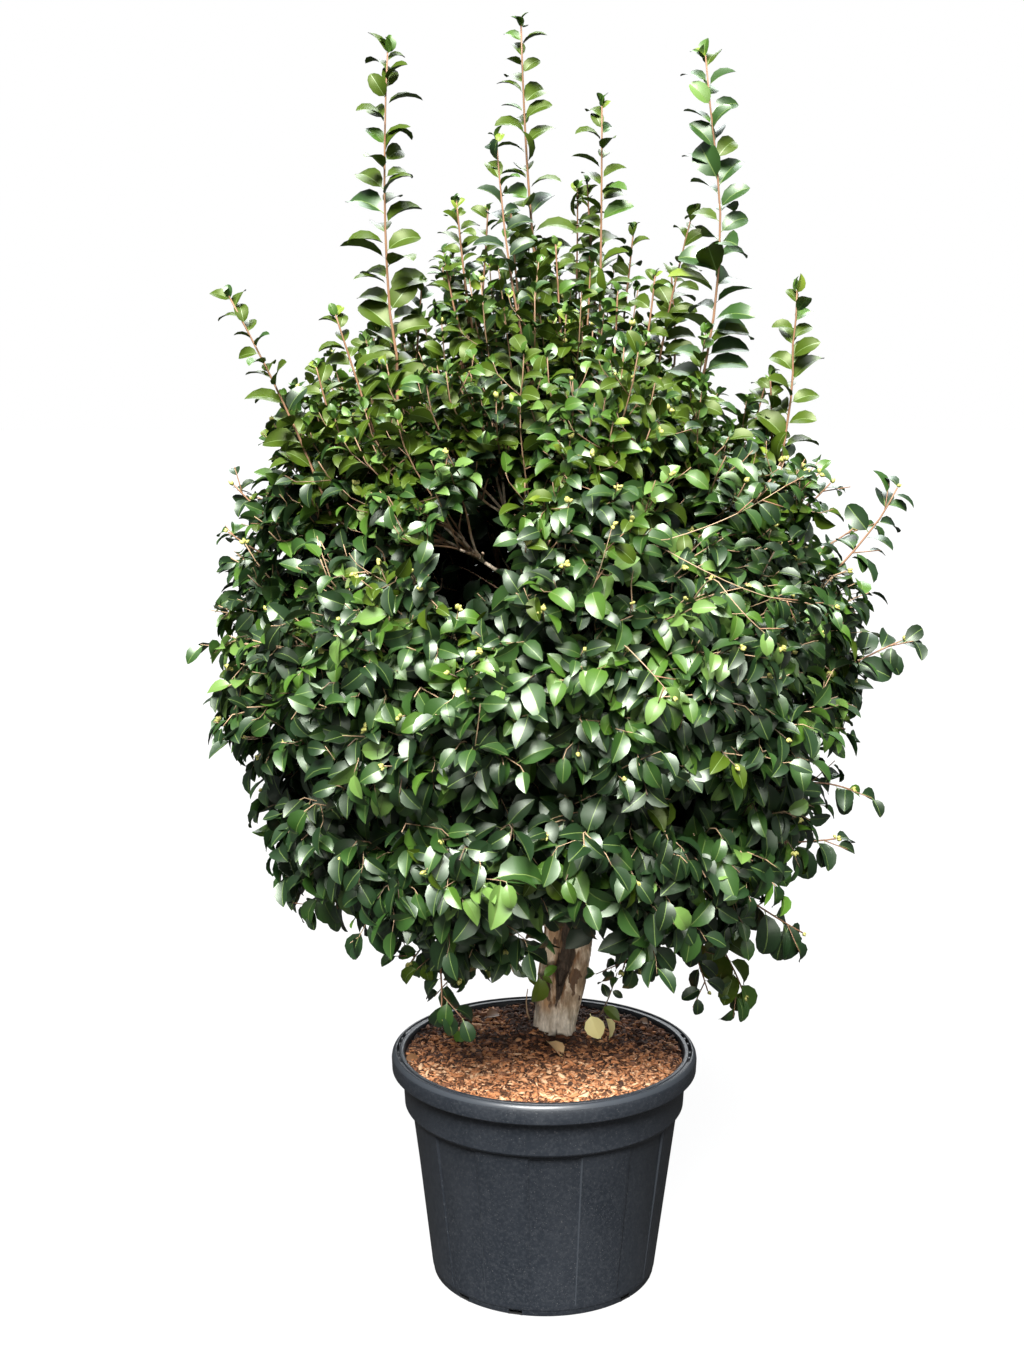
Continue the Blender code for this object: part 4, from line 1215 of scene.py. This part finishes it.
def mass_tree():
    """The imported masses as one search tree, with the mass that each face belongs to."""
    points, faces, owners = [], [], []
    for name in sorted(NODES):
        if not name.startswith("foliage"):
            continue
        mesh = NODES[name].data
        start = len(points)
        points += [v.co.copy() for v in mesh.vertices]
        faces += [[start + index for index in polygon.vertices] for polygon in mesh.polygons]
        owners += [name] * len(mesh.polygons)
    return BVHTree.FromPolygons(points, faces), owners


def crown_middle():
    corners = [corner for name in NODES if name.startswith("foliage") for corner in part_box(name)]
    return Vector([(min(c[axis] for c in corners) + max(c[axis] for c in corners)) / 2 for axis in range(3)])


def in_arch(place):
    """Whether a place lies in the arch before the trunk."""
    x, y, z = place
    low, high = ARCH_SIDES
    return y < 0 and low < x < high and z < ARCH_TOP_Z + ARCH_SLOPE * (y - ARCH_FRONT_Y)


def in_oval(place, oval):
    """Whether a place lies in an upright oval, seen from the front."""
    across, height, half_across, half_height = oval[:4]
    return ((place[0] - across) / half_across) ** 2 + ((place[2] - height) / half_height) ** 2 < 1


def in_hollow(place):
    """Whether a place lies in the dark hollow in the crown's front."""
    return (in_oval(place, HOLLOWS[0]) | in_oval(place, HOLLOWS[1])) & (place[1] < HOLLOW_BACK_Y)


def aim_points(count, depth, inner):
    """Places spread evenly under the crown's skin: mass, place, way out and whether it is an inner one."""
    tree, owners = mass_tree()
    centre = crown_middle()
    golden = math.pi * (3 - math.sqrt(5))
    found = []
    for index in range(count):
        rise = 1 - 2 * (index + 0.5) / count
        turn, flat = golden * index, math.sqrt(1 - rise * rise)
        way = Vector((flat * math.cos(turn), flat * math.sin(turn), rise)) + Vector(RNG.normal(0, 0.02, 3))
        way.normalize()
        place, _, face, _ = tree.ray_cast(centre + way * 2, -way, 2)
        if place is None or (place - centre).length < LEAST_REACH:
            continue
        clump = ripple(*way * CLUMP_FREQUENCY)
        inward = RNG.uniform(*depth) + CLUMP_DEPTH * min(1.0, max(0.0, 0.35 + clump))
        inward += sum(trim[4] for trim in OUTLINE_TRIMS if in_oval(place, trim))
        hollow = in_hollow(place)
        aim = np.array(place - way * (inward + HOLLOW_DEPTH * hollow))
        if not in_arch(aim) and (inner or not hollow):
            found.append((owners[face], aim, np.array(way), inner))
    return found


def cluster(points, count):
    """Splits points into groups that lie together; returns the group of each."""
    count = max(1, min(count, len(points)))
    middles = points[RNG.choice(len(points), count, replace=False)]
    for _ in range(8):
        group = np.argmin(np.linalg.norm(points[:, None] - middles[None], axis=2), axis=1)
        own = [points[group == number] for number in range(count)]
        middles = np.array([near.mean(axis=0) if len(near) else old for near, old in zip(own, middles)])
    return group


def growth_way(way):
    """The direction in which a twig's end grows: up and out on top, out and down at the foot."""
    lift = 0.95 if way[2] > 0.35 else (0.30 if way[2] > -0.25 else -0.35)
    return unit(way + UP * lift)


def zone_of(way, inner):
    if inner:
        return "inner"
    return "upper" if way[2] > 0.38 else ("middle" if way[2] > -0.2 else "low")


def leaf_size(place):
    """Leaves are longest low in the crown."""
    return float(np.interp(place[2], *LEAF_LENGTHS))


def riser_height(aim, way):
    """How far a twig on top of the crown shoots up above it: most in the middle."""
    if way[2] < 0.55 or RNG.uniform() > 0.55:
        return 0.0
    middle = math.exp(-((aim[0] + 0.03) / 0.24) ** 2 - (aim[1] / 0.35) ** 2)
    return RNG.uniform(0.02, 0.10) + 0.22 * middle * RNG.uniform()


def grow_twig(start, aim, way, inner, region):
    end_way = growth_way(way + RNG.normal(0, 0.25, 3))
    riser = 0.0 if inner else riser_height(aim, way)
    if riser:
        end_way = unit(way * 0.22 + UP + RNG.normal(0, 0.08, 3))
        aim = aim + end_way * riser
    length = np.linalg.norm(aim - start)
    path = curve_between(start, (aim - start) * 0.35, aim, end_way * length * 0.38, 6)
    colour = 2 if way[2] > 0.35 else int(RNG.integers(0, 2))
    shown = not (in_hollow(path[3]) or in_hollow(path[5]))
    if shown:
        add_tube(PLANT.twigs, path, TWIG_RADII, 4, colour)
    light = unit(way * 0.75 + UP * 0.65)
    leaf = {
        "region": region, "form": "inner" if inner else "crown", "zone": zone_of(way, inner),
        "size": leaf_size(aim), "spacing": LEAF_SPACING, "first": max(0.03, length - LEAFY_LENGTH - riser),
        "droop": 0.03 if riser else (0.16 if way[2] > 0.2 else 0.27),
        "spiral": math.pi, "spread": 66, "scatter": 0.55, "shrink": 0.30, "depth": 1.0, "shown": shown,
    }
    if riser:
        leaf |= {
            "form": "shoot", "zone": "shoot", "spread": 54, "size": leaf["size"] * 1.06,
            "spacing": RISER_SPACING, "tuft": True,
        }
    if np.linalg.norm(aim - LIGHT_CLUSTER[0]) < LIGHT_CLUSTER[1]:
        leaf |= {"zone": "light", "size": leaf["size"] * 1.05}
    leafy_twig(path, light, leaf)
    for share, hand in ((0.45, 1), (0.70, -1)):
        if RNG.uniform() < (0.45 if inner else 0.12):
            continue
        base = blend(path[0], path[-1], share) if inner else points_at(share * 5, range(6), path)
        side = unit(np.cross(end_way, light)) * hand
        out = unit(end_way * 0.75 + side * 0.8 + RNG.normal(0, 0.22, 3))
        reach = RNG.uniform(0.055, 0.095)
        tip = base + out * reach + end_way * 0.012
        branchlet = curve_between(base, out * reach * 0.4, tip, end_way * reach * 0.3, 4)
        if shown and not in_hollow(branchlet[-1]):
            add_tube(PLANT.twigs, branchlet, BRANCHLET_RADII, 3, max(1, colour))
        leafy_twig(branchlet, light, {**leaf, "first": 0.014})
    if not inner and RNG.uniform() < (0.12 if riser else 0.36) and shown:
        PLANT.buds.append((path[-1], end_way))


def grow_mass(hub, aims, region):
    """Branches fan out from the limb's end, fork, and carry a twig to each aim point."""
    points = np.array([place for _, place, _, _ in aims])
    group = cluster(points, round(len(points) / TWIGS_ON_A_BRANCH))
    for number in np.unique(group):
        own = np.flatnonzero(group == number)
        middle = points[own].mean(axis=0)
        outward = unit(middle - hub)
        branch_end = blend(hub, middle, 0.50) + RNG.normal(0, 0.015, 3)
        reach = np.linalg.norm(branch_end - hub)
        path = curve_between(hub, (outward + UP * 0.3) * reach * 0.35, branch_end, outward * reach * 0.3, 7)
        add_tube(PLANT.branches, path, BRANCH_RADII, 6)
        forks = cluster(points[own], round(len(own) / TWIGS_ON_A_FORK))
        for fork in np.unique(forks):
            members = own[forks == fork]
            goal = points[members].mean(axis=0)
            end = blend(branch_end, goal, 0.42) + RNG.normal(0, 0.012, 3)
            step = np.linalg.norm(end - branch_end)
            arrive = unit(goal - branch_end) * step * 0.3
            path = curve_between(branch_end, outward * step * 0.35, end, arrive, 5)
            add_tube(PLANT.branches, path, FORK_RADII, 5)
            for member in members:
                _, aim, way, inner = aims[member]
                grow_twig(end, aim, way, inner, region)
            PLANT.forks.append(end)


def grow_curtain(lines, hubs):
    """Dark twigs on the stems where they enter the crown, so that no sky shows behind the fork; their leaves
    take the inner tint, which is painted shade.
    """
    low_hubs = {mass: hub for mass, hub in hubs.items() if "low" in mass}
    stems = np.concatenate([lines[name][0] for name in STEM_MASSES])
    stems = stems[stems[:, 2] > CURTAIN_HEIGHTS[0] - 0.02]
    for _ in range(CURTAIN_TWIGS):
        turn, reach = RNG.uniform(0, math.tau), RNG.uniform(*CURTAIN_REACH)
        way = np.array((math.cos(turn), math.sin(turn), -0.25))
        aim = np.array((*TRUNK_MIDDLE, RNG.uniform(*CURTAIN_HEIGHTS))) + way * reach
        if not in_arch(aim):
            region = min(low_hubs, key=lambda mass: np.linalg.norm(low_hubs[mass] - aim))
            grow_twig(nearest(stems, aim), aim, unit(way), True, region)


def grow_shoot(line, size, centre, first=0.015):
    """A long upright shoot or a side spray along a line, joined to the nearest fork in the crown."""
    root = nearest(np.array(PLANT.forks), line[0])
    lead = unit(line[1] - line[0])
    upright, bare = lead[2] > 0.8, first > 0.05
    gap = np.linalg.norm(line[0] - root)
    arrive = unit(lead * 0.5 + BARE_TWIG_RISE) * gap * 0.4 if bare else lead * gap * 0.45
    path = curve_between(root, (line[0] - root) * 0.35, line[0], arrive, 9)
    steps = reach_along(line)
    radii = (0.0014, 0.0009) if bare else (min(0.0052, 0.0024 + 0.0045 * steps[-1]), 0.0017)
    add_tube(PLANT.shoots, np.concatenate([path[:-1], line]), radii, 6, int(bare))
    facing = (0.0, -0.55 if line[-1][1] < 0.15 else 0.55, 0.0)
    light = unit(UPRIGHT_LIGHT) if upright else unit(UP * 0.85 + 0.35 * unit(line[-1] - centre) + facing)
    leaf = {"region": "shoots", "form": "shoot", "size": size, "first": first, "scatter": 0.30} | (
        UPRIGHT_SHOOT if upright else SIDE_SPRAY | {"zone": "middle" if line[-1][2] > 1.1 else "low"}
    )
    leafy_twig(line, light, leaf)
    if upright:
        return
    count = max(2, round(steps[-1] / SIDE_TWIG_SPACING))
    for number, reach in enumerate(np.linspace(max(first, 0.02), steps[-1] * 0.82, count)):
        base = points_at(reach, steps, line)
        side = unit(np.cross(lead, light)) * (1 if number % 2 else -1)
        out = unit(lead + side * 0.9 + RNG.normal(0, 0.25, 3))
        if bare:  # close to the crown
            out = unit(out * (1, 0, 1) + (0, 0.15, 0)) * 0.6
        tip = base + out * RNG.uniform(0.05, 0.085)
        twig = curve_between(base, (tip - base) * 0.35, tip, (tip - base) * 0.3, 4)
        add_tube(PLANT.shoots, twig, SPRAY_TWIG_RADII, 4)
        leafy_twig(twig, light, {**leaf, "first": 0.012, "size": size * 0.85})
    PLANT.buds.append((line[-1], lead))


def grow_added_sprays(centre):
    """Small upright shoots, hanging sprays and long bare twigs in front, and others by rule behind."""
    sprays = [
        (0.02, factor, np.array([(x, y, z) for x, z in places])) for factor, y, *places in LEAFY_SPRAYS
    ] + [(bare, factor, np.array(points)) for bare, factor, points in BARE_SPRAYS]
    for bare, factor, line in list(sprays):
        if bare < 0.05 and RNG.uniform() < 0.8:  # most leafy ones have a like at the back
            sprays.append((bare, factor, line * (-1, -1, 1) + RNG.normal(0, 0.02, 3)))
    for bare, factor, line in sprays:
        smooth = curve_between(line[0], (line[1] - line[0]) * 0.8, line[-1], (line[-1] - line[-2]) * 0.8, 9)
        grow_shoot(smooth, leaf_size(line[-1]) * factor, centre, bare)


def grow_trunk_sprigs():
    """A dead stub, a bare hanging twig, whose leaves are placed one by one, and a leafy sprig."""
    for colour, size, *points in TRUNK_SPRIGS:
        first, second, third, last = np.array(points)
        path = curve_between(first, second - first, last, last - third, 6)
        add_tube(PLANT.twigs, path, SPRIG_RADII, 5, colour)
        if size:
            leafy_twig(path, unit((0.0, -0.9, 0.4)), {**TRUNK_SPRIG, "size": size})


def bud_template():
    """A plump, pointed bud on a short stalk."""
    rings = ((0.0, 0.10), (0.15, 0.30), (0.45, 0.38), (0.78, 0.20))  # height and radius
    turns = [side * math.tau / BUD_SIDES for side in range(BUD_SIDES)]
    points = [(r * math.cos(turn), r * math.sin(turn), z) for z, r in rings for turn in turns]
    faces = faces_to_tip(len(rings), BUD_SIDES, True)
    return template([*points, (0, 0, 1.0)], [*faces, list(reversed(range(BUD_SIDES)))])


def make_buds():
    gathering = Gathering()
    places, axes = [], []
    for place, way in PLANT.buds:
        for _ in range(RNG.integers(2, 6)):
            lean = unit(way + RNG.normal(0, 0.45, 3))
            side = unit(np.cross(lean, (0.3, 0.5, 0.2)))
            places.append(place + lean * 0.002)
            axes.append(np.stack([side, np.cross(lean, side), lean], -1) * RNG.uniform(*BUD_LENGTHS))
    scatter(gathering, bud_template(), np.array(places), np.array(axes), np.zeros(len(places), int))
    buds = gathering.build("buds", [plain("bud_green", (0.46, 0.45, 0.13), 0.4)])
    finish_piece(buds, None, [])


def grow_packed_shoots(centre, names):
    for name in names:
        line, reach = limb_line(name, 9)
        size, short = float(reach.max()) * SHOOT_LEAF_SHARE, 0.22 if "tall" in name else 0.05
        if name.startswith("spray"):
            size, short = max(size, leaf_size(line[-1]) * SPRAY_SHARES.get(name, 1.1)), 0.6
        steps = reach_along(line)
        kept = np.linspace(0, max(steps[-1] - size * short, steps[-1] * 0.5), 9)
        grow_shoot(points_at(kept, steps, line), size, centre)


def main():
    make_camera()
    make_lamps()
    make_sky()
    make_floor()
    mottle_group()
    make_pot()
    make_mix()
    make_chips()
    make_fallen_leaves()

    limb_names = [name for name in NODES if name.startswith(("stem", "bough"))]
    lines = {name: limb_line(name, 22 if name.startswith("stem") else 9) for name in limb_names}
    bark = make_trunk_bark(lines)
    make_limb_bark(lines, bark)

    aims = aim_points(OUTER_TWIGS, OUTER_DEPTHS, False)
    aims += aim_points(INNER_TWIGS, INNER_DEPTHS, True)
    hubs = {mass: lines[stem][0][-1] for stem, mass in STEM_MASSES.items()}
    hubs |= {"foliage_" + name[6:]: lines[name][0][-1] for name in lines if name.startswith("bough")}
    for mass, hub in hubs.items():
        grow_mass(hub, [aim for aim in aims if aim[0] == mass], mass)
    grow_curtain(lines, hubs)
    centre = np.array(crown_middle())
    shoots = [name for name in sorted(NODES) if name.startswith(("shoot", "spray"))]
    grow_packed_shoots(centre, shoots)
    grow_added_sprays(centre)
    grow_trunk_sprigs()

    make_leaves({**{mass: [mass] for mass in hubs}, "shoots": shoots})
    masses = [name for name in NODES if name.startswith("foliage")]
    twig_colours = [plain(name, *finish) for name, finish in TWIG_COLOURS.items()]
    finish_piece(PLANT.branches.build("branches", []), bark, masses)
    finish_piece(PLANT.twigs.build("twigs", twig_colours[:3]), None, masses)
    finish_piece(PLANT.shoots.build("shoot_wood", twig_colours[3:]), None, shoots)
    make_buds()


main()
